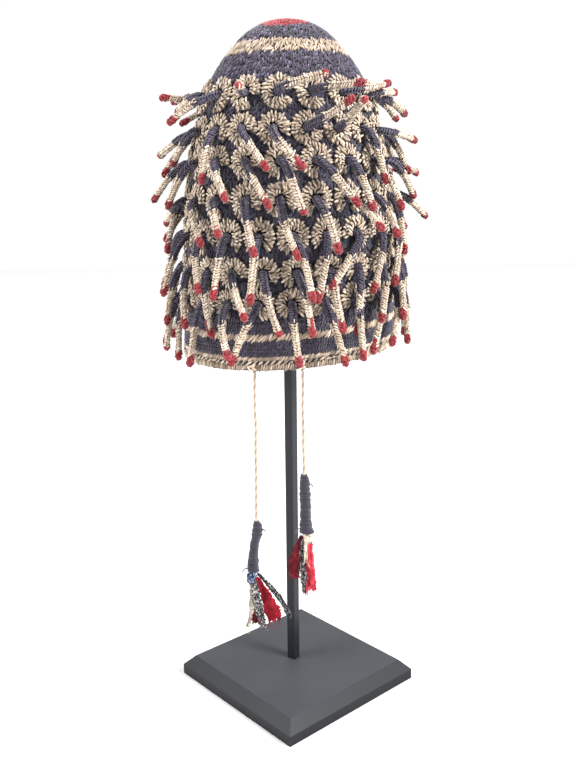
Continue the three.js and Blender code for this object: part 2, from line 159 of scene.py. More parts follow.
# Tassels. A head is the wrapped stretch of the string and a knot ties the strips to it. Their rows give
# the middle's shift to the right and the drop, as shares of their length, and the thickness as a share of
# the head's radius. Strips are torn cloth. A line's rows give the shift to the right, the shift to the
# front, the drop and the width, all as shares of the strips' length.
Strip = namedtuple("Strip", "cloth ragged line")
TASSELS = {
    "left": {
        "head_length": 43,
        "head_radius": 4.6,
        "head": [(0, 0, 0.55), (0.01, 0.09, 0.8), (0.01, 0.24, 0.95), (-0.05, 0.48, 0.82),
                 (-0.08, 0.78, 0.98), (-0.08, 1, 1.08)],
        "strips_length": 50,
        "knot": [(0, 0, 0.8), (-0.03, 0.08, 1), (-0.03, 0.19, 0.85), (-0.02, 0.24, 0.6)],
        "knot_cloth": "blue_print",
        "strips": [
            Strip("dark_red", 0.04, [
                (0.01, -0.02, 0.14, 0.08), (0.03, -0.02, 0.6, 0.12), (0.04, 0, 0.96, 0.16)]),
            Strip("red", 0.08, [
                (0.06, 0.03, 0.1, 0.06), (0.19, 0.05, 0.39, 0.18), (0.29, 0.05, 0.7, 0.25),
                (0.33, 0.05, 0.91, 0.21)]),
            Strip("grey_print", 0.03, [
                (0, 0.06, 0.14, 0.12), (0.03, 0.09, 0.39, 0.14), (0.08, 0.11, 0.62, 0.14),
                (0.16, 0.12, 0.98, 0.11)]),
            Strip("pale", 0.03, [
                (-0.03, 0.03, 0.14, 0.09), (-0.04, 0.02, 0.6, 0.09), (-0.06, 0, 0.8, 0.07),
                (-0.12, -0.02, 1.02, 0.07)]),
            Strip("grey_print", 0.03, [
                (0.06, -0.03, 0.05, 0.06), (0.27, -0.06, 0.32, 0.1), (0.5, -0.08, 0.68, 0.1),
                (0.57, -0.09, 0.85, 0.1)]),
        ],
    },
    "right": {
        "head_length": 48,
        "head_radius": 5.2,
        "head": [(0, 0, 0.58), (0.01, 0.14, 0.74), (0.02, 0.5, 0.86), (0.02, 0.76, 0.87), (0.04, 1, 1.08)],
        "strips_length": 54,
        "knot": [(0.01, 0, 0.75), (0.02, 0.06, 0.95), (0.02, 0.13, 0.85), (0.01, 0.18, 0.6)],
        "knot_cloth": "pale",
        "strips": [
            Strip("dark_red", 0.03, [
                (-0.06, 0.01, 0.05, 0.07), (-0.15, 0.03, 0.24, 0.1), (-0.19, 0.04, 0.4, 0.16),
                (-0.19, 0.04, 0.74, 0.16)]),
            Strip("grey_print", 0.03, [
                (-0.05, 0.02, 0.1, 0.07), (-0.07, 0.03, 0.45, 0.1), (-0.05, 0.03, 0.75, 0.1),
                (-0.03, 0.02, 0.99, 0.08)]),
            Strip("bright_red", 0.05, [
                (0.03, 0, 0.1, 0.09), (0.03, 0.02, 0.43, 0.13), (0.05, 0.03, 0.75, 0.15),
                (0.06, 0.03, 0.97, 0.16)]),
            Strip("bright_red", 0.06, [
                (0.03, 0.05, 0.1, 0.06), (0.06, 0.07, 0.45, 0.08), (0.09, 0.07, 0.85, 0.09)]),
            Strip("pale", 0.01, [(-0.02, 0.05, 0.1, 0.05), (-0.02, 0.09, 0.42, 0.05)]),
        ],
    },
}

rng = np.random.default_rng(5)


# Helpers for numbers and curves

TABLE_STEP = 0.01


def unit(vectors):
    return vectors / np.linalg.norm(vectors, axis=-1, keepdims=True)


def turned(first, second, angle):
    """The direction at an angle, in radians, from the first direction towards the second."""
    return first * np.cos(angle) + second * np.sin(angle)


def distance_along(points):
    """How far each point lies along the line through all of them."""
    return np.concatenate([[0], np.cumsum(np.linalg.norm(np.diff(points, axis=0), axis=1))])


def values_at(at, along, values):
    """Rows of values, such as points, read off at distances between those given."""
    return np.stack([np.interp(at, along, column) for column in values.T], axis=-1)


def smooth_curve(knots, step, end_slope=None):
    """Points about step apart on a smooth curve through the knots, and each one's distance along it."""
    knots = np.asarray(knots, float)
    lengths = distance_along(knots)
    slopes = np.gradient(knots, lengths, axis=0)
    if end_slope is not None:
        slopes[-1] = end_slope
    at = np.linspace(0, lengths[-1], max(2, round(lengths[-1] / step)))
    low = np.clip(np.searchsorted(lengths, at, side="right") - 1, 0, len(knots) - 2)
    span = (lengths[low + 1] - lengths[low])[:, None]
    t = (at - lengths[low])[:, None] / span
    points = ((2 * t**3 - 3 * t**2 + 1) * knots[low] + (t**3 - 2 * t**2 + t) * span * slopes[low]
              + (3 * t**2 - 2 * t**3) * knots[low + 1] + (t**3 - t**2) * span * slopes[low + 1])
    return points, distance_along(points)


def blend_columns(rows, at, share_column):
    """Values of a table's columns at the shares given, between its rows, with rounded corners."""
    points, _ = smooth_curve(rows, TABLE_STEP)
    points = points[np.argsort(points[:, share_column])]
    return values_at(at, points[:, share_column], points)


def waves(table, first, second, starts=(0, 0, 0)):
    """Sum of waves over two places. A row of the table has a wave's height and its rate over each place."""
    return sum(height * np.sin(rate * first + other_rate * second + start)
               for (height, rate, other_rate), start in zip(table, starts))


# Places on the cap

PROFILE_STEP = 0.5
PROFILE, PROFILE_LENGTH = smooth_curve(
    [(radius * RIM_RADIUS, height * CAP_HEIGHT) for height, radius in CAP_SECTIONS], PROFILE_STEP,
    end_slope=(-1, 0))
PROFILE_SLOPE = unit(np.gradient(PROFILE, PROFILE_LENGTH, axis=0))
CAP_LENGTH = PROFILE_LENGTH[-1]
Place = namedtuple("Place", "base normal side up")


def length_at(height):
    """Distance up the cap's surface from the rim to a height in millimetres."""
    return np.interp(height, PROFILE[:, 1], PROFILE_LENGTH)


def tilt_shift(x, y, z):
    """The rim dips to the front left: heights shift most at the rim and not at all higher up."""
    share = np.maximum(0, 1 - z / CAP_HEIGHT / RIM_TILT_REACH)
    return (RIM_TILT_SIDEWAYS * x + RIM_TILT_FORWARD * y) * share


def on_cap(length, turn, offset=0):
    """Places on the cap, a length up from the rim and turned round the hat in degrees, with directions."""
    length, turn = np.broadcast_arrays(np.asarray(length, float), np.radians(turn))
    radius, height, slope_in, slope_up = (
        np.interp(length, PROFILE_LENGTH, column)[..., None] for column in (*PROFILE.T, *PROFILE_SLOPE.T))
    zero = np.zeros_like(turn)
    away = np.stack([np.sin(turn), -np.cos(turn), zero], axis=-1)
    side = np.stack([np.cos(turn), np.sin(turn), zero], axis=-1)
    upright = np.array([0, 0, 1])
    up = unit(away * slope_in + upright * slope_up)
    normal = unit(away * slope_up - upright * slope_in)
    base = away * radius + upright * height
    base[..., 2] += tilt_shift(base[..., 0], base[..., 1], height[..., 0])
    return Place(base + normal * offset, normal, side, up)


# Meshes. tone is a point's lightness, with painted shade under and between strands, strand its place along
# and round its strand, and the strand's number.
# yarn is the number of a triangle's material.

Shape = namedtuple("Shape", "points triangles tone strand")
Part = namedtuple("Part", "points triangles tone strand yarn")

# A strand's ends are round: SHOULDER is where they begin, FULLNESS how little it has narrowed by then.
# The next value is a strand's lightness halfway down its sides: painted shade, which darkens further towards
# its underside.
STRAND_SHOULDER = 0.66
STRAND_FULLNESS = 2.6
SIDE_SHADE_TONE = 0.35


def strand_shape(sides, rings, arch=0.0, root_shade=0.0):
    """A rounded strand of yarn along X from -1 to 1, 1 in half width and half height, arched over Z=0.

    tone is painted shade, 1 on top and falling to 0 underneath, and root_shade is the painted shade it loses
    towards the strand's start.
    """
    points = [(-1.0, 0.0, 0.0)]
    strand = [(-1.0, 0.0)]
    for along in np.linspace(-STRAND_SHOULDER, STRAND_SHOULDER, rings):
        reach = (1 - abs(along) ** STRAND_FULLNESS) ** 0.5
        for corner in range(sides):
            angle = 2 * math.pi * (corner + 0.5) / sides - math.pi / 2
            points.append((along, reach * math.cos(angle), reach * math.sin(angle)))
            strand.append((along, corner / sides))
    points.append((1.0, 0.0, 0.0))
    strand.append((1.0, 0.0))
    triangles = []
    last = len(points) - 1
    top = last - sides
    for corner in range(sides):
        following = (corner + 1) % sides
        triangles += [(0, 1 + following, 1 + corner), (last, top + corner, top + following)]
        for low in range(1, top, sides):
            high = low + sides
            triangles.append((low + corner, low + following, high + following))
            triangles.append((low + corner, high + following, high + corner))
    points = np.array(points)
    tone = np.clip(SIDE_SHADE_TONE + (1 - SIDE_SHADE_TONE) * points[:, 2], 0, 1)
    tone *= 1 - root_shade * (1 - points[:, 0]) / 2
    points[:, 2] += arch * (1 - points[:, 0] ** 2)
    return Shape(points, np.array(triangles), tone, np.array(strand))


def stamp(shape, centres, along, outward, sizes, tones, yarns):
    """Copies of a shape: its X runs along, its Z outward, and sizes are its half length, width and height."""
    count = len(centres)
    sizes = np.broadcast_to(sizes, (count, 3))
    along = unit(along)
    outward = unit(outward - along * np.sum(outward * along, axis=1, keepdims=True))
    axes = np.stack([along, np.cross(outward, along), outward], axis=1) * sizes[..., None]
    points = centres[:, None, :] + shape.points[None] @ axes
    triangles = shape.triangles[None] + (np.arange(count) * len(shape.points))[:, None, None]
    tone = shape.tone[None] * np.broadcast_to(tones, count)[:, None]
    number = np.broadcast_to(np.arange(count)[:, None, None], (count, len(shape.points), 1))
    strand = np.concatenate([shape.strand[None] * sizes[:, None, :2], number], axis=2)
    yarn = np.repeat(np.broadcast_to(yarns, count), len(shape.triangles))
    return Part(points.reshape(-1, 3), triangles.reshape(-1, 3), tone.ravel(), strand.reshape(-1, 3), yarn)


def join_parts(parts):
    """One part of many, their triangles renumbered."""
    firsts = np.cumsum([0] + [len(part.points) for part in parts[:-1]])
    joined = Part(*(np.concatenate(values) for values in zip(*parts)))
    triangles = np.concatenate([part.triangles + first for part, first in zip(parts, firsts)])
    return joined._replace(triangles=triangles)


def make_mesh(name, part, materials):
    """A Blender object of a part, moved from the hat's own frame to the row's and turned into metres."""
    points = (part.points + HAT_ORIGIN) * MM
    count = len(part.triangles)
    mesh = bpy.data.meshes.new(name)
    mesh.vertices.add(len(points))
    mesh.vertices.foreach_set("co", points.ravel().astype(np.float32))
    mesh.loops.add(3 * count)
    mesh.loops.foreach_set("vertex_index", part.triangles.ravel().astype(np.int32))
    mesh.polygons.add(count)
    mesh.polygons.foreach_set("loop_start", 3 * np.arange(count, dtype=np.int32))
    mesh.polygons.foreach_set("loop_total", np.full(count, 3, np.int32))
    mesh.polygons.foreach_set("material_index", part.yarn.astype(np.int32))
    mesh.polygons.foreach_set("use_smooth", np.ones(count, bool))
    tone = mesh.attributes.new("tone", "FLOAT", "POINT")
    tone.data.foreach_set("value", part.tone.astype(np.float32))
    strand = mesh.attributes.new("strand", "FLOAT_VECTOR", "POINT")
    strand.data.foreach_set("vector", part.strand.ravel().astype(np.float32))
    mesh.update()
    mesh.validate()
    for material in materials:
        mesh.materials.append(material)
    piece = bpy.data.objects.new(name, mesh)
    bpy.context.scene.collection.objects.link(piece)
    return piece


def stand_for(piece, node):
    """A piece belongs to the one body and is seen in place of a CAD node."""
    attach(piece, "root")
    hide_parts(node)


def tube(centres, across, upright, radii, sides, tone=1.0, yarn=0):
    """A closed round tube through points, with its cross directions and radius at each point."""
    angles = np.linspace(0, 2 * math.pi, sides, endpoint=False)
    circle = turned(across[:, None], upright[:, None], angles[None, :, None])
    count = len(centres)
    rings = centres[:, None] + circle * np.broadcast_to(radii, (count, sides))[..., None]
    points = np.concatenate([rings.reshape(-1, 3), centres[:1], centres[-1:]])
    first = count * sides
    last = first + 1
    top = first - sides
    low = np.arange(count - 1) * sides
    triangles = []
    for corner in range(sides):
        following = (corner + 1) % sides
        quad = np.stack([low + corner, low + following, low + sides + following, low + sides + corner],
                        axis=1)
        triangles += [quad[:, [0, 1, 2]], quad[:, [0, 2, 3]]]
        triangles.append(np.array([[first, following, corner], [last, top + corner, top + following]]))
    triangles = np.concatenate(triangles)
    strand = np.zeros((len(points), 3))
    strand[:first, 0] = np.repeat(distance_along(centres), sides)
    strand[:first, 1] = np.tile(angles * np.mean(radii), count)
    return Part(points, triangles, np.full(len(points), tone), strand, np.full(len(triangles), yarn))


# Materials

def colour(hex_text):
    """Linear red, green, blue and alpha of a colour written as six hex digits."""
    parts = [int(hex_text[i:i + 2], 16) / 255 for i in (0, 2, 4)]
    return [p / 12.92 if p <= 0.04045 else ((p + 0.055) / 1.055) ** 2.4 for p in parts] + [1]


class Nodes:
    """Short way to build a tree of shader nodes. Each method that adds a node gives its output."""

    def __init__(self, tree):
        self.tree = tree

    def feed(self, socket, value):
        """Links an output to the socket, or else sets the socket's own value."""
        if isinstance(value, bpy.types.NodeSocket):
            self.tree.links.new(value, socket)
        else:
            socket.default_value = value

    def add(self, kind, inputs, output=0, **settings):
        node = self.tree.nodes.new("ShaderNode" + kind)
        for key, value in settings.items():
            setattr(node, key, value)
        for key, value in inputs.items():
            self.feed(node.inputs[key], value)
        return node.outputs[output]

    def place(self):
        return self.add("TexCoord", {}, "Object")

    def tone(self):
        return self.add("Attribute", {}, "Fac", attribute_name="tone")

    def strand(self, stretch):
        """The place on a strand, stretched so that a pattern laid on it runs along the strand."""
        place = self.add("Attribute", {}, "Vector", attribute_name="strand")
        return self.scaled(place, stretch)

    def scaled(self, vector, scale):
        return self.add("VectorMath", {0: vector, 1: scale}, operation="MULTIPLY")

    def noise(self, vector, scale, detail=3, roughness=0.6):
        inputs = {"Vector": vector, "Scale": scale, "Detail": detail, "Roughness": roughness}
        return self.add("TexNoise", inputs, "Fac")

    def cells(self, vector, scale):
        return self.add("TexVoronoi", {"Vector": vector, "Scale": scale}, "Distance")

    def maths(self, operation, first, second):
        return self.add("Math", {0: first, 1: second}, operation=operation)

    def total(self, *weighted):
        """The sum of values, each given with its weight."""
        first, *others = (self.maths("MULTIPLY", value, weight) for value, weight in weighted)
        for other in others:
            first = self.maths("ADD", first, other)
        return first

    def in_range(self, value, low, high, low_result, high_result):
        """A value's share of the way from low to high, turned into a result."""
        inputs = {"Value": value, "From Min": low, "From Max": high,
                  "To Min": low_result, "To Max": high_result}
        return self.add("MapRange", inputs, "Result")

    def ramp(self, value, stops):
        """Colours at the positions given."""
        ramp = self.add("ValToRGB", {"Fac": value}, "Color")
        elements = ramp.node.color_ramp.elements
        while len(elements) < len(stops):
            elements.new(0.5)
        for element, (position, stop_colour) in zip(elements, stops):
            element.position = position
            element.color = stop_colour
        return ramp

    def mix(self, share, first, second, kind="MIX"):
        return self.add("Mix", {0: share, 6: first, 7: second}, 2, data_type="RGBA", blend_type=kind)


class Material(Nodes):
    """Nodes that end in a material's shader."""

    def __init__(self, name):
        self.material = bpy.data.materials.new(name)
        self.material.use_nodes = True
        super().__init__(self.material.node_tree)

    def finish(self, base, relief=None, strength=0.0, depth=0.0, **values):
        """The material with its colour, the relief's output, strength and depth, and the shader's values."""
        values["Base_Color"] = base
        if relief:
            inputs = {"Strength": strength, "Distance": depth, "Height": relief}
            values["Normal"] = self.add("Bump", inputs, "Normal")
        for key, value in values.items():
            self.feed(self.tree.nodes["Principled BSDF"].inputs[key.replace("_", " ")], value)
        return self.material


# Yarn. A strand's lightness comes from its tone, which holds painted shade under and between strands, its
# fibres and the wear over the hat, by weight. Navy yarn is faded on the crown, more with height.
FIBRE_STRETCH = (0.9, 4.5, 3.1)
WEAR_SCALE = 45
TONE_WEIGHT = 0.78
FIBRE_WEIGHT = 0.34
WEAR_WEIGHT = 0.22
YARN_DARKNESS = 0.14
YARN_STOPS = (0.12, 0.58, 0.98)
FADED_FROM = 0.45
FADED_TO = 0.57
FADED_SHARE = 0.3


def yarn_material(name, dark, middle, light, faded=None):
    """Cotton yarn: fibres along each strand, painted shade between the strands, and blotches of wear over the
    hat.
    """
    nodes = Material(name)
    tone = nodes.tone()
    fibres = nodes.noise(nodes.strand(FIBRE_STRETCH), 1, detail=4)
    wear = nodes.noise(nodes.place(), WEAR_SCALE)
    shade = nodes.total((tone, TONE_WEIGHT), (fibres, FIBRE_WEIGHT), (wear, WEAR_WEIGHT))
    base = nodes.ramp(nodes.maths("SUBTRACT", shade, YARN_DARKNESS),
                      list(zip(YARN_STOPS, map(colour, (dark, middle, light)))))
    if faded:
        height = nodes.add("SeparateXYZ", {0: nodes.place()}, "Z")
        share = nodes.in_range(height, FADED_FROM, FADED_TO, 0, FADED_SHARE)
        base = nodes.mix(nodes.maths("MULTIPLY", share, tone), base, colour(faded))
    return nodes.finish(base, fibres, strength=0.7, depth=0.0006,
                        Roughness=0.88, Sheen_Weight=0.25, Sheen_Roughness=0.5, Specular_IOR_Level=0.25)


# Cloth. Its lightness comes from painted light and shade across its folds, the tone, and from its weave, by
# weight.
WEAVE_STRETCH = (3, 3, 1)
FOLD_SHADE_WEIGHT = 0.55
WEAVE_WEIGHT = 0.6
CLOTH_SHADES = [(0.1, [0.3, 0.3, 0.3, 1]), (0.75, [1, 1, 1, 1])]


def cloth_material(name, stops, blotch):
    """Thin torn cotton cloth: a printed or dyed colour by blotches, with a fine weave and painted shade
    across its folds.
    """
    nodes = Material(name)
    pattern = nodes.noise(nodes.place(), blotch, detail=4, roughness=0.7)
    weave = nodes.noise(nodes.strand(WEAVE_STRETCH), 1, detail=2)
    base = nodes.ramp(pattern, [(position, colour(text)) for position, text in stops])
    shade = nodes.total((nodes.tone(), FOLD_SHADE_WEIGHT), (weave, WEAVE_WEIGHT))
    base = nodes.mix(1.0, base, nodes.ramp(shade, CLOTH_SHADES), "MULTIPLY")
    return nodes.finish(base, weave, strength=0.6, depth=0.0004,
                        Roughness=0.85, Sheen_Weight=0.04, Specular_IOR_Level=0.1)


# Paint. Upright faces take a darker colour than level ones, as painted shade on the sides and painted light
# on top.
# The power below is how fast a face's colour changes to the level faces' paler one as it turns level.
LEVEL_LIGHT_POWER = 6
CLOUD_SCALE = 14
GRAIN_SCALE = 900
GLOSS_SPREAD = 0.16
PAINT_SHINE = 0.2


def paint_material(name, dark, light, upright, roughness, stretch):
    """Satin paint over wood or steel, a little uneven in colour and gloss, with painted light on level faces
    and painted shade on upright ones.
    """
    nodes = Material(name)
    cloudy = nodes.noise(nodes.scaled(nodes.place(), stretch), CLOUD_SCALE, detail=4)
    grain = nodes.noise(nodes.place(), GRAIN_SCALE, detail=2)
    base = nodes.ramp(cloudy, [(0.3, colour(dark)), (0.7, colour(light))])
    facing = nodes.add("SeparateXYZ", {0: nodes.add("TexCoord", {}, "Normal")}, "Z")
    level = nodes.maths("POWER", nodes.maths("MAXIMUM", facing, 0), LEVEL_LIGHT_POWER)
    # Painted light and shade: level faces take the paler base, upright ones the darker upright colour
    base = nodes.mix(level, colour(upright), base)
    gloss = nodes.maths("ADD", nodes.maths("MULTIPLY", cloudy, GLOSS_SPREAD), roughness - GLOSS_SPREAD / 2)
    return nodes.finish(base, grain, strength=0.12, depth=0.0003, Roughness=gloss,
                        Specular_IOR_Level=PAINT_SHINE)


FOAM_CELLS = 700


def foam_material():
    nodes = Material("foam")
    cells = nodes.cells(nodes.place(), FOAM_CELLS)
    base = nodes.ramp(cells, [(0.1, colour("2c2c2f")), (0.6, colour("3c3c40"))])
    return nodes.finish(base, cells, strength=0.6, depth=0.0008, Roughness=0.95)


LINING_CELLS = 380
LINING_WEAR_SCALE = 60
LINING_WEAR_WEIGHT = 0.4


def lining_material():
    """Inside and gaps of the crochet: dark navy fabric with a net of small holes."""
    nodes = Material("crochet_back")
    cells = nodes.cells(nodes.place(), LINING_CELLS)
    wear = nodes.noise(nodes.place(), LINING_WEAR_SCALE)
    base = nodes.ramp(nodes.total((cells, 1), (wear, LINING_WEAR_WEIGHT)), [
        (0.25, colour("3a394d")), (0.6, colour("232232")), (0.9, colour("14131c"))])
    return nodes.finish(base, cells, strength=0.8, depth=0.001,
                        Roughness=0.92, Sheen_Weight=0.2, Specular_IOR_Level=0.2)


YARNS = {"navy": 0, "natural": 1, "red": 2}
yarn_materials = [
    yarn_material("navy_yarn", "070409", "2c2536", "574d61", faded="5c5768"),
    yarn_material("natural_yarn", "130c0a", "9f8c79", "e2dacb"),
    yarn_material("red_yarn", "25050a", "741119", "a5353d"),
]
string_material = yarn_material("string_yarn", "40332b", "94806e", "cdbca8")
wrapping_material = yarn_material("wrapping_thread", "0a070d", "211c2a", "3d3545")

# Cloths: the scale of their blotches, then their colours by place in the blotches
CLOTH_COLOURS = {
    "red": (130, [(0.35, "52060f"), (0.5, "730d19"), (0.66, "96202d")]),
    "bright_red": (130, [(0.35, "85202a"), (0.5, "ab2e3b"), (0.66, "d0525e")]),
    "dark_red": (150, [(0.4, "34040a"), (0.58, "4b0914"), (0.74, "70222c")]),
    "pale": (260, [(0.38, "6b645a"), (0.5, "b8ae9d"), (0.66, "e2dacb")]),
    "grey_print": (640, [(0.42, "14151c"), (0.5, "2f2f37"), (0.56, "6f6b68"), (0.66, "b9b3a8")]),
    "blue_print": (420, [(0.42, "0f1629"), (0.52, "2c3854"), (0.58, "747d94"), (0.68, "c8c7c2")]),
}
cloths = {
    name: cloth_material(f"{name}_cloth", stops, blotch) for name, (blotch, stops) in CLOTH_COLOURS.items()
}


# Camera

# Set from the photograph: the stand's corners and the rim's height fix the place and the length of lens
CAMERA_PLACE = Vector((-4.9, -738.8, 456.7))
CAMERA_TARGET = Vector((-4.86, 0, 283.5))
CAMERA_ROLL = -0.696
CAMERA_LENS = 40.73
NEAREST_SEEN = 0.01
FARTHEST_SEEN = 20


def add_camera():
    data = bpy.data.cameras.new("camera")
    data.lens = CAMERA_LENS
    data.clip_start = NEAREST_SEEN
    data.clip_end = FARTHEST_SEEN
    camera = bpy.data.objects.new("camera", data)
    look = (CAMERA_TARGET - CAMERA_PLACE).to_track_quat("-Z", "Y")
    roll = Euler((0, 0, math.radians(CAMERA_ROLL))).to_quaternion()
    camera.rotation_euler = (look @ roll).to_euler()
    camera.location = CAMERA_PLACE * MM
    bpy.context.scene.collection.objects.link(camera)
    bpy.context.scene.camera = camera


add_camera()


# Strings

STRAND_TONES = (0.8, 0.6, 0.4)
STRING_STRANDS = len(STRAND_TONES)
STRING_STRAND_SIDES = 8
STRAND_RADIUS = 0.3 * STRING_DIAMETER
STRAND_OFFSET = 0.23 * STRING_DIAMETER
STRING_TWIST = 7.5
STRING_STEP = 1.1

# The string's route inside its head: the first share of the head's length, its points, and how far it goes
# on into the knot
STRING_IN_HEAD = 0.1
POINTS_IN_HEAD = 8
STRING_IN_KNOT = 5


def string_start(side):
    turn = math.radians(STRINGS[side]["turn"])
    reach = RIM_RADIUS - CAP_WALL / 2
    x, y = reach * math.sin(turn), -reach * math.cos(turn)
    return np.array([x, y, tilt_shift(x, y, 0) - STRING_TOP_GAP])


def string_points(side):
    """The string's own points, from the rim down to its head."""
    return string_start(side) + [(right, -out, -drop) for right, out, drop in STRINGS[side]["points"]]


def hanging_line(top, rows, length):
    """Points under a top, by rows that begin with the shares of a length to the right and down."""
    return top + np.stack([rows[:, 0], 0 * rows[:, 0], -rows[:, 1]], axis=1) * length


def head_centres(side, shares):
    """Middle line and thickness of a tassel's wrapped head at shares of its length, from its top."""
    tassel = TASSELS[side]
    rows = blend_columns(tassel["head"], shares, 1)
    rows[:, 1] = shares
    top = string_points(side)[-1] - (0, 0, CLEARANCE)
    return hanging_line(top, rows, tassel["head_length"]), rows[:, 2] * tassel["head_radius"]


def strips_top(side):
    lowest, _ = head_centres(side, np.array([1.0]))
    return lowest[0] - (0, 0, CLEARANCE)


def string_route(side):
    """The string's own points, and then on inside the wrapped head to the knot under it."""
    inside, _ = head_centres(side, np.linspace(STRING_IN_HEAD, 1, POINTS_IN_HEAD))
    knot = inside[-1:] - (0, 0, STRING_IN_KNOT)
    return smooth_curve(np.concatenate([string_points(side), inside, knot]), STRING_STEP)


def add_string(side):
    """Twisted cotton cord of three strands."""
    route, along = string_route(side)
    forward = unit(np.gradient(route, along, axis=0))
    across = unit(np.cross(forward, [0, 1, 0]))
    upright = np.cross(forward, across)
    strands = []
    for strand, tone in enumerate(STRAND_TONES):
        angle = 2 * math.pi * (along / STRING_TWIST + strand / STRING_STRANDS)[:, None]
        centres = route + turned(across, upright, angle) * STRAND_OFFSET
        strands.append(tube(centres, across, upright, STRAND_RADIUS, STRING_STRAND_SIDES, tone=tone))
        strands[-1].strand[:, 2] = strand
    piece = make_mesh(f"twisted_string_{side}", join_parts(strands), [string_material])
    return piece, (route + HAT_ORIGIN) * MM, along[-1] * MM


# Loops of a string's upper end round the rim: how far up and to the right, and their lean in degrees
RIM_TIE = [(0.6, -2, 60), (2.2, -3.4, -30), (3.6, -1.6, 75), (4.4, 0.6, 20), (1.8, 0.8, -50)]
RIM_TIE_OFFSET = 1.3
RIM_TIE_SIZE = (2.6, 0.9, 0.9)
TIE_LOOP = strand_shape(sides=8, rings=5, arch=0.6)


def add_rim_tie(side):
    """Loops of the string's upper end, knotted round the rim's edge."""
    ups, rights, leans = np.array(RIM_TIE).T
    places = on_cap(ups, STRINGS[side]["turn"] + np.degrees(rights / RIM_RADIUS), RIM_TIE_OFFSET)
    along = turned(places.up, places.side, np.radians(leans)[:, None])
    part = stamp(TIE_LOOP, places.base, along, places.normal, RIM_TIE_SIZE, 1.0, 0)
    return make_mesh(f"rim_tie_{side}", part, [string_material])


strings = {side: add_string(side) for side in STRINGS}
rim_ties = {side: add_rim_tie(side) for side in STRINGS}


# Tassels

HEAD_SIDES = 16
WRAP_PITCH = 0.85
WRAP_RELIEF = 0.32
WRAP_STEPS = 4
# Lightness in the grooves between turns of thread, a painted shade
GROOVE_SHADE_TONE = 0.3
WRAP_TONES = (0.6, 1)

# A head's lumps: their height, and how they run round it and come and go down it
HEAD_LUMPS = 0.25
LUMP_TURNS = 3
LUMP_WAVES = 9

# Loose binding threads: a share of the head's length, a turn from the right-hand side and a length
BINDING_THREADS = [(0.16, 20, 4), (0.95, 195, 6)]


def standing_tube(centres, radii):
    """A tube with level rings of points."""
    across, front = (np.tile(direction, (len(centres), 1)) for direction in ((1.0, 0, 0), (0, -1.0, 0)))
    return tube(centres, across, front, radii, HEAD_SIDES)


def add_sleeve(side):
    """The string's end wound closely with navy thread, and a few loose binding threads."""
    turns = TASSELS[side]["head_length"] / WRAP_PITCH
    shares = np.linspace(0, 1, round(turns * WRAP_STEPS))
    centres, radii = head_centres(side, shares)
    count = len(shares)
    rows = shares[:, None]
    angles = np.linspace(0, 1, HEAD_SIDES, endpoint=False)
    ridge = np.abs(np.sin(math.pi * (rows * turns + angles)))
    lumps = np.sin(2 * math.pi * (LUMP_TURNS * rows + angles)) * np.sin(LUMP_WAVES * rows)
    lumps += np.repeat(rng.normal(size=math.ceil(count / WRAP_STEPS)), WRAP_STEPS)[:count, None]
    part = standing_tube(centres, radii[:, None] + WRAP_RELIEF * (ridge - 1) + HEAD_LUMPS * lumps)
    # Painted shade in the grooves, times a lightness that differs at random
    tones = (GROOVE_SHADE_TONE + (1 - GROOVE_SHADE_TONE) * ridge) * rng.uniform(*WRAP_TONES, (count, HEAD_SIDES))
    part.tone[:count * HEAD_SIDES] = tones.ravel()
    parts = [part]
    for share, turn, length in BINDING_THREADS:
        centre, radius = head_centres(side, np.array([share]))
        parts.append(loose_thread(centre[0], radius[0], turn, length))
    return make_mesh(f"wrapped_head_{side}", join_parts(parts), [wrapping_material])


THREAD_RADIUS = 0.5
THREAD_SINK = 0.3
THREAD_SIDES = 5
THREAD_STEP = 0.8

# A thread's first cross direction is at right angles to this one, which no thread follows
THREAD_ASIDE = (0.2, 1, 0.1)

# Knots of a loose thread: how far out and up, as shares of its length
THREAD_DROOP = [(0, 0), (0.3, 0.1), (0.6, -0.1), (0.75, -0.5)]


def loose_thread(centre, radius, turn, length):
    """A thread's end that leaves a head at a turn from the right-hand side and droops."""
    angle = math.radians(turn)
    away = np.array([math.cos(angle), -abs(math.sin(angle)), 0])
    start = centre + away * (radius - THREAD_SINK)
    return thread([start + (away * out + (0, 0, up)) * length for out, up in THREAD_DROOP])


def thread(knots, radius=THREAD_RADIUS):
    """A thin round thread through a few points."""
    route, along = smooth_curve(knots, THREAD_STEP)
    forward = unit(np.gradient(route, along, axis=0))
    across = unit(np.cross(forward, THREAD_ASIDE))
    return tube(route, across, np.cross(forward, across), radius, THREAD_SIDES)


STRIP_ACROSS = 12
STRIP_STEP = 1.2
STRIP_THICKNESS = 0.5
STRIP_EDGE_SPREAD = 0.06
RAGGED_RANGE = (-1, 0.15)

# How sharply the ragged drop of a strip's columns sets in towards its lower end
RAGGED_POWER = 4

# Folds of a strip: a wave's height as a share of CRUMPLE, and its rate across and along the strip. At the
# top they have FOLD_AT_TOP of their height.
CRUMPLE = 0.9
FOLDS = [(1, 3.2, 5), (0.6, 1.7, 11), (0.25, 4, 29)]
FOLD_AT_TOP = 0.35
# Middle lightness of the painted light and shade that runs across a strip with its first fold
FOLD_SHADE_TONE = 0.75

# Frayed threads: every second column has one, with its length, sway and how it bends
FRAY_COLUMNS = 2
FRAY_LENGTHS = (1.5, 6)
FRAY_SWAY = 0.5
FRAY_RADIUS = 0.17
FRAY_BEND = 0.3
FRAY_BEND_DROP = 0.6
FRAY_START = 1


def strip_line(side, strip, shares):
    """Middle line and width of a cloth strip at shares of its own length."""
    line = np.asarray(strip.line)
    at = line[0, 2] + (line[-1, 2] - line[0, 2]) * shares
    right, front, drop, widths = blend_columns(line, at, 2).T * TASSELS[side]["strips_length"]
    return strips_top(side) + np.stack([right, -front, -drop], axis=1), widths


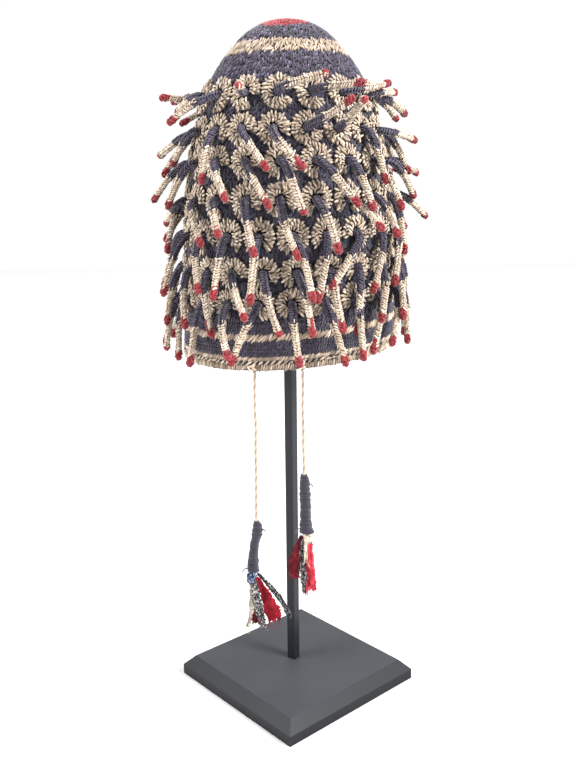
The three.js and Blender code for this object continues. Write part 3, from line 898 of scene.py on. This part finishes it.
def strip_parts(side, strip):
    """A torn strip of cloth, creased along its length, with a ragged lower end and threads out of it."""
    length = TASSELS[side]["strips_length"]
    steps = round(length / STRIP_STEP)
    shares = np.linspace(0, 1, steps)
    rows = shares[:, None]
    centres, widths = strip_line(side, strip, shares)
    starts = rng.uniform(0, 2 * math.pi, 4)
    across = np.linspace(-1, 1, STRIP_ACROSS)
    ragged = rng.uniform(*RAGGED_RANGE, STRIP_ACROSS) * strip.ragged
    edge = STRIP_EDGE_SPREAD * rng.normal(size=(steps, 2))
    reach = across * widths[:, None] / 2
    reach[:, [0, -1]] += widths[:, None] * edge
    fold = CRUMPLE * waves(FOLDS, across, rows, starts) * (FOLD_AT_TOP + (1 - FOLD_AT_TOP) * rows)
    drop = rows ** RAGGED_POWER * ragged * length
    points = centres[:, None] + np.stack([reach, -fold, -drop], axis=-1)
    both = np.concatenate([points + (0, face * STRIP_THICKNESS / 2, 0) for face in (-1, 1)]).reshape(-1, 3)
    triangles = two_sided_grid(steps, STRIP_ACROSS)
    columns = np.tile(across, 2 * steps)
    strand = np.zeros((len(both), 3))
    strand[:, 0] = np.tile(np.repeat(shares * length, STRIP_ACROSS), 2)
    strand[:, 1] = columns * widths.mean() / 2
    # Painted light and shade across the strip, in step with its first fold
    tone = FOLD_SHADE_TONE + (1 - FOLD_SHADE_TONE) * np.sin(FOLDS[0][1] * columns + starts[0])
    parts = [Part(both, triangles, tone, strand, np.zeros(len(triangles), int))]
    for end in points[-1, ::FRAY_COLUMNS]:
        reach = rng.uniform(*FRAY_LENGTHS)
        sway = np.append(rng.uniform(-FRAY_SWAY, FRAY_SWAY, 2) * reach, 0)
        start = end + (0, 0, FRAY_START)
        parts.append(thread([start, start + FRAY_BEND * sway - (0, 0, FRAY_BEND_DROP * reach),
                             start + sway - (0, 0, FRAY_START + reach)], FRAY_RADIUS))
    return parts


def two_sided_grid(rows, columns):
    """Triangles of a thin sheet whose front and back are two like grids of points."""
    row, column = np.meshgrid(np.arange(rows - 1), np.arange(columns - 1), indexing="ij")
    corner = (row * columns + column).ravel()
    quads = np.stack([corner, corner + columns, corner + columns + 1, corner + 1], axis=1)
    back = rows * columns
    rim = np.concatenate([
        np.arange(columns), np.arange(1, rows) * columns + columns - 1,
        (rows - 1) * columns + np.arange(columns - 2, -1, -1), np.arange(rows - 2, 0, -1) * columns,
    ])
    following = np.roll(rim, -1)
    edges = np.stack([rim, following, following + back, rim + back], axis=1)
    return split_quads(np.concatenate([quads, quads[:, ::-1] + back, edges]))


def split_quads(quads):
    """Two triangles for each four corners."""
    return np.concatenate([quads[:, [0, 1, 2]], quads[:, [0, 2, 3]]])


# A knot's lumps: a wave's height and its rate round and down the knot
KNOT_STEPS = 26
KNOT_LUMPS = [(0.5, 3, 22), (0.3, 5, -40)]
KNOT_SINK = 0.3


def add_knot(side):
    """Strip of cloth wound round the strips' tops where they are tied to the head."""
    tassel = TASSELS[side]
    table = np.asarray(tassel["knot"])
    shares = np.linspace(table[0, 1], table[-1, 1], KNOT_STEPS)
    rows = blend_columns(table, shares, 1)
    rows[:, 1] = shares
    centres = hanging_line(strips_top(side), rows, tassel["strips_length"])
    angles = np.linspace(0, 2 * math.pi, HEAD_SIDES, endpoint=False)
    lumps = waves(KNOT_LUMPS, angles, shares[:, None]) * np.sin(np.linspace(0, math.pi, KNOT_STEPS))[:, None]
    part = standing_tube(centres, rows[:, 2:] * tassel["head_radius"] - KNOT_SINK + lumps)
    return make_mesh(f"tie_knot_{side}", part, [cloths[tassel["knot_cloth"]]])


def add_strips(side):
    return [make_mesh(f"{strip.cloth}_strip_{side}_{number}", join_parts(strip_parts(side, strip)),
                      [cloths[strip.cloth]])
            for number, strip in enumerate(TASSELS[side]["strips"], start=1)]


def add_tassel(side):
    """Wrapped head, knot and strips, with the string and its rim tie, each seen in place of its CAD node."""
    sleeve = add_sleeve(side)
    hanging = [add_knot(side)] + add_strips(side)
    string, route, length = strings[side]
    stand_for(string, f"string_{side}")
    stand_for(rim_ties[side], f"string_{side}")
    stand_for(sleeve, f"tassel_sleeve_{side}")
    for piece in hanging:
        stand_for(piece, f"tassel_strips_{side}")


for tassel_side in TASSELS:
    add_tassel(tassel_side)


# Crocheted cap

STITCH = strand_shape(sides=5, rings=3)
SMALL_STITCH = strand_shape(sides=5, rings=2)
GROUND_CLEAR = 11

# How evenly each part of the cap is stitched. place is a share of a course's height, slant in degrees,
# overlap a stitch's half length as a share of the course's height, and tone its range of lightness.
Unevenness = namedtuple("Unevenness", "shape place slant overlap tone")
UNEVENNESS = {
    "border": Unevenness(STITCH, 0.08, 11, 0.66, (0.25, 0.85)),
    "ground": Unevenness(SMALL_STITCH, 0.35, 32, 0.66, (0.25, 0.8)),
    "crown": Unevenness(STITCH, 0.3, 20, 0.8, (0.12, 0.95)),
}
NATURAL_TONES = (0.3, 0.86)
RED_TONES = (0.62, 0.98)
DASH_TONE = 0.25
DASH_LENGTH = 4.2
DASH_WIDENING = 1.35

# Half width of a stitch as a share of its pitch, how deep it sinks as a share of its relief, and how its
# length, width and relief vary
FULLNESS = 0.53
STITCH_SINK = 0.7
LENGTH_RANGE = (0.9, 1.12)
WIDTH_RANGE = (0.88, 1.12)
RELIEF_RANGE = (0.85, 1.15)

# Spread of a stitch's place round the cap, as a share of its pitch, and of the way it faces
TURN_SPREAD = 0.07
FACING_SPREAD = 0.12

# The last courses close the crown with at least so many stitches on so small a circle
FEWEST_STITCHES = 4
SMALLEST_CIRCLE = 0.8

# A few strands of the crown stand out pale
FUZZ_SHARE = 0.07
FUZZ_TONE = 1.4

# The part's source draws its random leans and lifts by this rule, here with the same rounding
DRAW_START = 7.0
DRAW_FACTOR = 1103515245.0
DRAW_STEP = 12345.0
DRAW_RANGE = 2147483648.0

Ring = namedtuple("Ring", "row turn up lean lift length")


def part_draws():
    state = DRAW_START
    while True:
        state = math.fmod(state * DRAW_FACTOR + DRAW_STEP, DRAW_RANGE)
        yield state / DRAW_RANGE


def ring_places():
    """Every ring: its row, place on the cap, the burl's lean, lift and length."""
    rings = []
    draws = part_draws()
    for number, row in enumerate(BURL_ROWS, start=1):
        low, high = row.lift_range
        up = length_at(row.height * CAP_HEIGHT)
        for ring in range(row.rings):
            lean = row.lean_spread * (2 * next(draws) - 1)
            lift = low + (high - low) * next(draws)
            if ring < len(row.hang):
                lean, lift = row.hang[ring]
            turn = row.turn + ring * 360 / row.rings
            rings.append(Ring(number, turn, up, lean, lift, BURL_LENGTH * row.reach))
    return rings


RINGS = ring_places()
RING_CENTRES = on_cap([ring.up for ring in RINGS], [ring.turn for ring in RINGS]).base


def clear_of_rings(points):
    """Which points are far enough from every ring's middle to be seen as ground."""
    distances = np.linalg.norm(points[:, None] - RING_CENTRES[None], axis=2)
    return distances.min(axis=1) > GROUND_CLEAR


def course_stitches(run, bottom, height):
    """One course of stitches: what stamp needs to know of each."""
    unevenness = UNEVENNESS[run.piece]
    middle = bottom + height / 2
    radius = max(np.interp(middle, PROFILE_LENGTH, PROFILE[:, 0]), SMALLEST_CIRCLE)
    count = max(FEWEST_STITCHES, round(2 * math.pi * radius / run.pitch))
    turns = (np.arange(count) + rng.uniform(0, 1) + rng.normal(0, TURN_SPREAD, count)) * 360 / count
    lengths = middle + rng.normal(0, unevenness.place * height, count)
    places = on_cap(lengths, turns, offset=-STITCH_SINK * run.relief)
    slants = np.radians(run.slant + rng.normal(0, unevenness.slant, count))[:, None]
    along = turned(places.up, places.side, slants)
    reach = unevenness.overlap * height / np.cos(np.radians(run.slant))
    sizes = np.stack([
        reach * rng.uniform(*LENGTH_RANGE, count),
        FULLNESS * run.pitch * rng.uniform(*WIDTH_RANGE, count),
        run.relief * rng.uniform(*RELIEF_RANGE, count),
    ], axis=1)
    outward = places.normal + FACING_SPREAD * rng.normal(size=(count, 3))
    tones = rng.uniform(*unevenness.tone, count)
    yarns = np.full(count, YARNS.get(run.yarn, YARNS["navy"]))
    if run.yarn == "dashed":
        yarns[::2] = YARNS["natural"]
        tones *= DASH_TONE
        sizes[1::2, 0] = DASH_LENGTH / 2
        sizes[1::2, 1] *= DASH_WIDENING
    natural = yarns == YARNS["natural"]
    tones[natural] = rng.uniform(*NATURAL_TONES, natural.sum())
    if run.piece == "crown":
        tones[(rng.uniform(size=count) < FUZZ_SHARE) & ~natural] = FUZZ_TONE
        red = np.hypot(*(places.base[:, :2] - RED_CENTRE).T) < RED_RADIUS
        yarns[red] = YARNS["red"]
        tones[red] = rng.uniform(*RED_TONES, red.sum())
    return places.base, along, outward, sizes, tones, yarns


def add_courses():
    """Lays the courses from the rim to the crown, as one piece for each part of the cap."""
    parts = {name: [] for name in UNEVENNESS}
    bottom = 0.0
    for run in COURSES:
        height = run.length / run.courses
        for _ in range(run.courses):
            stitches = course_stitches(run, bottom, height)
            if run.piece == "ground":
                seen = clear_of_rings(stitches[0])
                stitches = [values[seen] for values in stitches]
            if len(stitches[0]) and bottom + height / 2 < CAP_LENGTH:
                parts[run.piece].append(stamp(UNEVENNESS[run.piece].shape, *stitches))
            bottom += height
    for name, course_parts in parts.items():
        piece = make_mesh(f"{name}_stitches", join_parts(course_parts), yarn_materials)
        stand_for(piece, "cap")


SHELL_SIDES = 72
SHELL_STEP = 5
SHELL_SINK = 1.2


def add_shell():
    """The fabric behind the stitches, with its inner side, open below."""
    lengths = np.linspace(0, CAP_LENGTH, round(CAP_LENGTH / SHELL_STEP))[:, None]
    turns = np.arange(SHELL_SIDES) * 360 / SHELL_SIDES
    outer, inner = (on_cap(lengths, turns, -depth).base for depth in (SHELL_SINK, CAP_WALL))
    for side in (outer, inner):
        side[-1] = side[-1].mean(axis=0)
    rings = np.concatenate([inner[::-1], outer])
    row, column = np.meshgrid(np.arange(len(rings) - 1) * SHELL_SIDES, np.arange(SHELL_SIDES), indexing="ij")
    corners = [row + column, row + (column + 1) % SHELL_SIDES]
    above = [corner + SHELL_SIDES for corner in reversed(corners)]
    triangles = split_quads(np.stack(corners + above, axis=-1).reshape(-1, 4))
    points = rings.reshape(-1, 3)
    count = len(points)
    part = Part(points, triangles, np.ones(count), np.zeros((count, 3)), np.zeros(len(triangles), int))
    stand_for(make_mesh("crochet_shell", part, [lining_material()]), "cap")


add_shell()
add_courses()


# Raised rings

# Looped stitches darken towards their roots and the roll under them is dark: painted shade between the
# stitches
PETAL = strand_shape(sides=4, rings=3, arch=0.45, root_shade=0.4)
ROLL_STEPS = 14
ROLL_SIDES = 5
ROLL_HEIGHT = 1.7
ROLL_INSET = 1
ROLL_SHADE_TONE = 0.22

# How unevenly the looped stitches lie. TURN is in degrees for a band of one stitch and less with more, SWIRL
# in degrees, FACING and LIFT as shares, START, END and RISE in millimetres.
PETAL_TURN_SPREAD = 60
PETAL_START_SPREAD = 0.4
PETAL_END_SPREAD = 0.6
PETAL_SWIRL_SPREAD = 12
PETAL_LIFT_RANGE = (-0.1, 0.2)
PETAL_RISE_SPREAD = 0.25
PETAL_FACING_SPREAD = 0.25

# Half length of a looped stitch as a share of its band's width, and how the other sizes and tones vary
PETAL_OVERLAP = 0.56
PETAL_WIDTH_RANGE = (0.82, 1.18)
PETAL_HEIGHTS = (0.8, 1.1)
PETAL_TONES = (0.6, 1.15)


def ring_half_heights():
    """Half height of each row's rings, smaller where the rows stand closer together."""
    levels = np.array([length_at(row.height * CAP_HEIGHT) for row in BURL_ROWS])
    gaps = -np.diff(levels)
    nearest = np.minimum(np.append(gaps, gaps[-1]), np.insert(gaps, 0, gaps[0]))
    return np.minimum(RING_HALF_HEIGHT, nearest / 2 + RING_OVERLAP)


RING_HALF_HEIGHTS = ring_half_heights()


def ring_reach(half_height, angles):
    """Distance from a ring's middle to its outer edge, an ellipse, in the directions given."""
    slope = np.hypot(half_height * np.cos(angles), RING_HALF_WIDTH * np.sin(angles))
    return RING_HALF_WIDTH * half_height / slope


def cap_drop(place, middle, angles):
    """How far the round cap falls away under points beside a ring's middle."""
    return (middle * np.cos(angles)) ** 2 / (2 * np.linalg.norm(place.base[:2]))


def ring_roll(place, half_height, opening):
    """The padded roll under a ring's stitches, from one side of its opening round to the other, darkened as
    painted shade seen between them.
    """
    angles = np.radians(opening + np.linspace(RING_GAP, 360 - RING_GAP, ROLL_STEPS))
    radial = turned(place.side, place.up, angles[:, None])
    edge = ring_reach(half_height, angles)
    middle = edge * (RING_BANDS[0].start + RING_BANDS[-1].end) / 2
    half = edge * (RING_BANDS[-1].end - RING_BANDS[0].start) / 2 - ROLL_INSET
    centres = place.base + radial * middle[:, None] - place.normal * cap_drop(place, middle, angles)[:, None]
    turns = np.linspace(0, 2 * math.pi, ROLL_SIDES, endpoint=False)
    radii = 1 / np.hypot(np.cos(turns)[None] / half[:, None], np.sin(turns)[None] / ROLL_HEIGHT)
    return tube(centres, radial, np.tile(place.normal, (ROLL_STEPS, 1)), radii, ROLL_SIDES,
                tone=ROLL_SHADE_TONE, yarn=YARNS["natural"])


def band_part(place, half_height, opening, band):
    """One band of looped stitches round a ring, open where the burl leaves it."""
    turns = (np.arange(band.stitches) + rng.uniform(0, 1)) * 360 / band.stitches
    turns += rng.normal(0, PETAL_TURN_SPREAD / band.stitches, len(turns))
    turns = turns[np.abs((turns - opening + 180) % 360 - 180) > RING_GAP]
    count = len(turns)
    angles = np.radians(turns)
    reach = ring_reach(half_height, angles)
    inner = reach * band.start + rng.normal(0, PETAL_START_SPREAD, count)
    outer = reach * band.end + rng.normal(0, PETAL_END_SPREAD, count)
    middle = (outer + inner) / 2
    radial = turned(place.side, place.up, angles[:, None])
    round_way = turned(place.up, -place.side, angles[:, None])
    swirl = np.radians(band.swirl + rng.normal(0, PETAL_SWIRL_SPREAD, count))[:, None]
    lift = rng.uniform(*PETAL_LIFT_RANGE, count)[:, None]
    along = turned(radial, round_way, swirl) + place.normal * lift
    rise = band.rise + rng.normal(0, PETAL_RISE_SPREAD, count) - cap_drop(place, middle, angles)
    centres = place.base + radial * middle[:, None] + place.normal * rise[:, None]
    sizes = np.stack([
        PETAL_OVERLAP * (outer - inner),
        band.half_width * rng.uniform(*PETAL_WIDTH_RANGE, count),
        rng.uniform(*PETAL_HEIGHTS, count),
    ], axis=1)
    outward = place.normal + round_way * rng.normal(0, PETAL_FACING_SPREAD, count)[:, None]
    return stamp(PETAL, centres, along, outward, sizes, rng.uniform(*PETAL_TONES, count), YARNS["natural"])


def ring_part(ring):
    """Bands of looped stitches laid round like petals on a roll, open where the burl leaves the ring."""
    place = on_cap(ring.up, ring.turn)
    half_height = RING_HALF_HEIGHTS[ring.row - 1]
    opening = ring.lean - 90
    bands = [band_part(place, half_height, opening, band) for band in RING_BANDS]
    return join_parts([ring_roll(place, half_height, opening)] + bands)


# Burls

STRAND = strand_shape(sides=5, rings=2)
STRAND_SINK = 1.05
CORE_SIDES = 7
CORE_STEPS = 5
# The core's lightness in each yarn: painted shade, seen between the strands
CORE_SHADE_TONES = {"navy": 0.15, "natural": 0.2, "red": 0.5}
CORE_TIP_GAP = 1.2

# A burl's route: its points, and the spread of its sway in one bow and in an S
ROUTE_POINTS = 60
BOW_SPREAD = 1.1
S_SPREAD = 0.5

# Strands: half sizes, slant and turn from round to round in degrees, and how unevenly they lie
STRAND_LENGTHS = (1.9, 2.35)
STRAND_WIDTHS = (0.92, 1.2)
STRAND_HEIGHTS = (0.75, 1.0)
STRAND_SLANT = 38
SLANT_SPREAD = 9
ROUND_TURN = 1.5
FIRST_TURNS = (0, 60)
STOUTNESS = (0.95, 1.04)
RADIUS_SPREAD = 0.13
FORWARD_SPREAD = 0.2
BURL_TONES = (0.66, 1.06)
RED_TIP_TONES = (0.72, 0.92)

# Rounds over the tip: how far each is turned over it, in degrees, and its strands
TIP_ROUNDS = [(30, 5), (62, 3), (86, 1)]

# Where the yarn changes: how it varies from burl to burl and from strand to strand
NAVY_SPREAD = 1.5
RED_SPREAD = 1
NAVY_STRAND_SPREAD = 0.9
RED_STRAND_SPREAD = 0.8

# On some burls one column of strands turns red earlier, and a few tips are mostly natural yarn
RED_CLIMBS = [0, 0, 0, 3, 6]
PALE_TIP_SHARE = 0.07
PALE_TIP_LENGTH = 4

# A burl is a little thicker where its natural yarn begins, with ends of yarn that stand out
FLARE = 0.4
FLARE_LENGTH = 1.6
YARN_ENDS = 4
YARN_END_SIZE = (1.8, 0.55, 0.55)
YARN_END_RANGE = (0.8, 1.2)
YARN_END_RISE = (0.1, 0.45)
YARN_END_BACK = 1
YARN_END_SINK = 0.2
YARN_END_TONE = 0.95

Route = namedtuple("Route", "points along forward across")


def burl_route(ring):
    """Middle line of a burl with its cross directions: it leaves its ring straight, then bends over."""
    place = on_cap(ring.up, ring.turn, RING_RELIEF)
    hang = turned(-place.up, place.side, math.radians(ring.lean))
    root = place.base - place.normal * BURL_ROOT
    knee = place.base + place.normal * (ring.length * BURL_RISE_SHARE)
    tip = place.base + turned(hang, place.normal, math.radians(ring.lift)) * ring.length
    t = np.linspace(0, 1, ROUTE_POINTS)[:, None]
    points = (1 - t) ** 2 * root + 2 * t * (1 - t) * knee + t ** 2 * tip
    across = unit(np.cross(place.normal, hang))
    sway = rng.normal(0, BOW_SPREAD) * np.sin(math.pi * t) + rng.normal(0, S_SPREAD) * np.sin(2 * math.pi * t)
    points = points + across * sway
    along = distance_along(points)
    forward = unit(np.gradient(points, along, axis=0))
    return Route(points, along, forward, np.tile(across, (ROUTE_POINTS, 1)))


def route_at(route, at):
    """Middle, forward, sideways and upright directions of a burl at distances along it."""
    centre, forward, sideways = (
        values_at(at, route.along, values) for values in (route.points, route.forward, route.across))
    forward = unit(forward)
    return centre, forward, sideways, np.cross(forward, sideways)


def burl_thickness(share):
    return np.interp(share, *zip(*BURL_SECTIONS))


def strand_places(length, first_turn):
    """A burl's strands: distance along it, tilt over its tip, turn round it, number and thickness there."""
    body = length - BURL_RADIUS
    rounds = round(body / BURL_ROUND)
    rows = []
    for number in range(rounds):
        at = (number + 0.5) * body / rounds
        turn = first_turn + ROUND_TURN * number
        rows += [(at, 0.0, turn + 360 * strand / BURL_STRANDS, strand, burl_thickness(at / length))
                 for strand in range(BURL_STRANDS)]
    for degrees, strands in TIP_ROUNDS:
        tilt = math.radians(degrees)
        rows += [(body + BURL_RADIUS * math.sin(tilt), tilt, first_turn + 360 * strand / strands, strand, 1.0)
                 for strand in range(strands)]
    return np.array(rows).T


def burl_part(ring):
    """Crocheted finger: rounds of slanted strands on a core darkened as painted shade, navy at the root and
    red at the tip.
    """
    route = burl_route(ring)
    length = route.along[-1]
    first_turn = rng.uniform(*FIRST_TURNS)
    navy_end = NAVY_SHARE * length + rng.normal(0, NAVY_SPREAD)
    red_start = length - RED_LENGTH - rng.uniform(-RED_SPREAD, RED_SPREAD)
    climbing = rng.integers(0, BURL_STRANDS)
    climb = rng.choice(RED_CLIMBS)
    pale = rng.uniform() < PALE_TIP_SHARE
    stoutness = rng.uniform(*STOUTNESS)

    at, tilt, turn, strand, thickness = strand_places(length, first_turn)
    count = len(at)
    reach = np.cos(tilt)
    turn, tilt = np.radians(turn)[:, None], tilt[:, None]
    centre, forward, sideways, upright = route_at(route, at)
    outward = turned(sideways, upright, turn)
    round_way = turned(upright, -sideways, turn)
    forward_way = turned(forward, -outward, tilt)
    slant = np.radians(STRAND_SLANT + rng.normal(0, SLANT_SPREAD, count))[:, None]
    sign = np.where(strand % 2 == 0, 1, -1)[:, None]
    lay = turned(round_way * sign, forward_way, slant)
    flare = FLARE * np.exp(-((at - navy_end - FLARE_LENGTH) / FLARE_LENGTH) ** 2)
    radius = BURL_RADIUS * thickness * stoutness - STRAND_SINK + flare + rng.normal(0, RADIUS_SPREAD, count)
    centres = centre + outward * (radius * reach)[:, None]
    centres += forward_way * rng.normal(0, FORWARD_SPREAD, count)[:, None]
    ranges = (STRAND_LENGTHS, STRAND_WIDTHS, STRAND_HEIGHTS)
    sizes = np.stack([rng.uniform(*limits, count) for limits in ranges], axis=1)

    yarns = np.full(count, YARNS["natural"])
    yarns[at < navy_end + rng.normal(0, NAVY_STRAND_SPREAD, count)] = YARNS["navy"]
    red = at > red_start + rng.normal(0, RED_STRAND_SPREAD, count)
    red |= (strand == climbing) & (at > red_start - climb)
    if pale:
        red &= (at > length - PALE_TIP_LENGTH) & (strand != climbing)
    yarns[red] = YARNS["red"]
    tones = np.where(red, rng.uniform(*RED_TIP_TONES, count), rng.uniform(*BURL_TONES, count))
    part = stamp(STRAND, centres, lay, turned(outward, forward, tilt), sizes, tones, yarns)
    cores = burl_core(route, navy_end, red_start)
    return join_parts([part, yarn_ends(route, navy_end)] + cores)


def yarn_ends(route, navy_end):
    """Ends of natural yarn that stand up a little over the navy where a burl's yarn changes."""
    centre, forward, sideways, upright = route_at(route, np.full(YARN_ENDS, navy_end - YARN_END_BACK))
    outward = turned(sideways, upright, rng.uniform(0, 2 * math.pi, YARN_ENDS)[:, None])
    lay = forward - outward * rng.uniform(*YARN_END_RISE, (YARN_ENDS, 1))
    sizes = YARN_END_SIZE * rng.uniform(*YARN_END_RANGE, (YARN_ENDS, 1))
    centres = centre + outward * (BURL_RADIUS - YARN_END_SINK)
    return stamp(STRAND, centres, lay, outward, sizes, YARN_END_TONE, YARNS["natural"])


def burl_core(route, navy_end, red_start):
    """The inside of a burl, seen between its strands, in the three yarns, darkened as painted shade."""
    ends = [0, navy_end, red_start, route.along[-1] - CORE_TIP_GAP]
    cores = []
    for start, end, yarn in zip(ends, ends[1:], YARNS):
        at = np.linspace(start, end, CORE_STEPS)
        centres, _, sideways, upright = route_at(route, at)
        radii = (BURL_RADIUS * burl_thickness(at / route.along[-1]) - STRAND_SINK)[:, None]
        cores.append(tube(centres, sideways, upright, radii, CORE_SIDES,
                          tone=CORE_SHADE_TONES[yarn], yarn=YARNS[yarn]))
    return cores


def add_row(number):
    """One row's rings and burls, as two pieces."""
    rings = [ring for ring in RINGS if ring.row == number]
    for name, make in (("ring_row", ring_part), ("burl_row", burl_part)):
        piece = make_mesh(f"{name}_{number}", join_parts([make(ring) for ring in rings]), yarn_materials)
        stand_for(piece, "burl_field")


for row_number in range(1, len(BURL_ROWS) + 1):
    add_row(row_number)


# Stand

EDGE_ROUNDING = 0.8 * MM
ROUNDING_SEGMENTS = 3
HARD_EDGE = math.radians(25)


def dress_node(name, material, rounding=None):
    """A CAD node that keeps its form, with a material and, on a hard edge, a small rounding."""
    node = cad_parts[name]
    node.data.materials.clear()
    node.data.materials.append(material)
    if rounding:
        bevel = node.modifiers.new("rounded_edges", "BEVEL")
        bevel.width = rounding
        bevel.segments = ROUNDING_SEGMENTS
        bevel.limit_method = "ANGLE"
        bevel.angle_limit = HARD_EDGE
        bevel.harden_normals = True


# upright is the colour of upright faces, painted shade beside the level faces' painted light
WOOD = paint_material(
    "satin_black_wood", "303236", "37393d", upright="16171b", roughness=0.5, stretch=(1, 1, 1))
STEEL = paint_material(
    "satin_black_steel", "15161a", "1c1d21", upright="17181c", roughness=0.42, stretch=(1, 1, 0.2))
dress_node("stand_base", WOOD, EDGE_ROUNDING)
dress_node("stand_pole", STEEL, EDGE_ROUNDING / 2)
dress_node("hat_support", foam_material())


# Floor and light, in metres. The floor is darker up to NEAR_FLOOR from its middle, where the plate stands:
# painted shade round the plate, so that the plate's own shadow shows.

FLOOR_SIZE = 8
FLOOR_TONE = 0.92
NEAR_FLOOR_SHADE_TONE = 0.6
NEAR_FLOOR = 0.2
FAR_FLOOR = 0.9
SIDE_LIGHT = 0.5
TOP_LIGHT = 1.2
BACKDROP = 1.02
LIGHT_TARGET = Vector((0, 0, 0.4))

# Lamps: name, place, size and watts
LAMPS = [
    ("right", Vector((1.5, -0.9, 1.5)), 0.8, 118),
    ("left", Vector((-1.6, -0.5, 1.1)), 1.2, 52),
]


def floor_material():
    nodes = Material("pale_floor")
    distance = nodes.add("VectorMath", {0: nodes.place()}, "Value", operation="LENGTH")
    tone = nodes.in_range(distance, NEAR_FLOOR, FAR_FLOOR, NEAR_FLOOR_SHADE_TONE, FLOOR_TONE)
    return nodes.finish(tone, Roughness=0.9, Specular_IOR_Level=0.1)


def add_floor():
    mesh = bpy.data.meshes.new("floor")
    half = FLOOR_SIZE / 2
    corners = [(-half, -half, 0), (half, -half, 0), (half, half, 0), (-half, half, 0)]
    mesh.from_pydata(corners, [], [(0, 1, 2, 3)])
    mesh.materials.append(floor_material())
    floor = bpy.data.objects.new("floor", mesh)
    bpy.context.scene.collection.objects.link(floor)


def add_light(name, place, size, watts):
    data = bpy.data.lights.new(name, "AREA")
    data.shape = "DISK"
    data.size = size
    data.energy = watts
    light = bpy.data.objects.new(name, data)
    light.location = place
    light.rotation_euler = (LIGHT_TARGET - place).to_track_quat("-Z", "Y").to_euler()
    bpy.context.scene.collection.objects.link(light)


def add_world():
    """A white surround, which lights the object a little more from above than from the sides."""
    world = bpy.data.worlds.new("soft_white")
    world.use_nodes = True
    nodes = Nodes(world.node_tree)
    height = nodes.add("SeparateXYZ", {0: nodes.add("TexCoord", {}, "Generated")}, "Z")
    sky = nodes.in_range(height, 0, 1, SIDE_LIGHT, TOP_LIGHT)
    seen = nodes.add("LightPath", {}, "Is Camera Ray")
    strength = nodes.add("Mix", {"Factor": seen, "A": sky, "B": BACKDROP}, "Result")
    background = nodes.tree.nodes["Background"]
    nodes.feed(background.inputs["Color"], (1, 1, 1, 1))
    nodes.feed(background.inputs["Strength"], strength)
    bpy.context.scene.world = world


add_floor()
add_world()
for lamp in LAMPS:
    add_light(*lamp)
bpy.context.scene.view_settings.view_transform = "Standard"
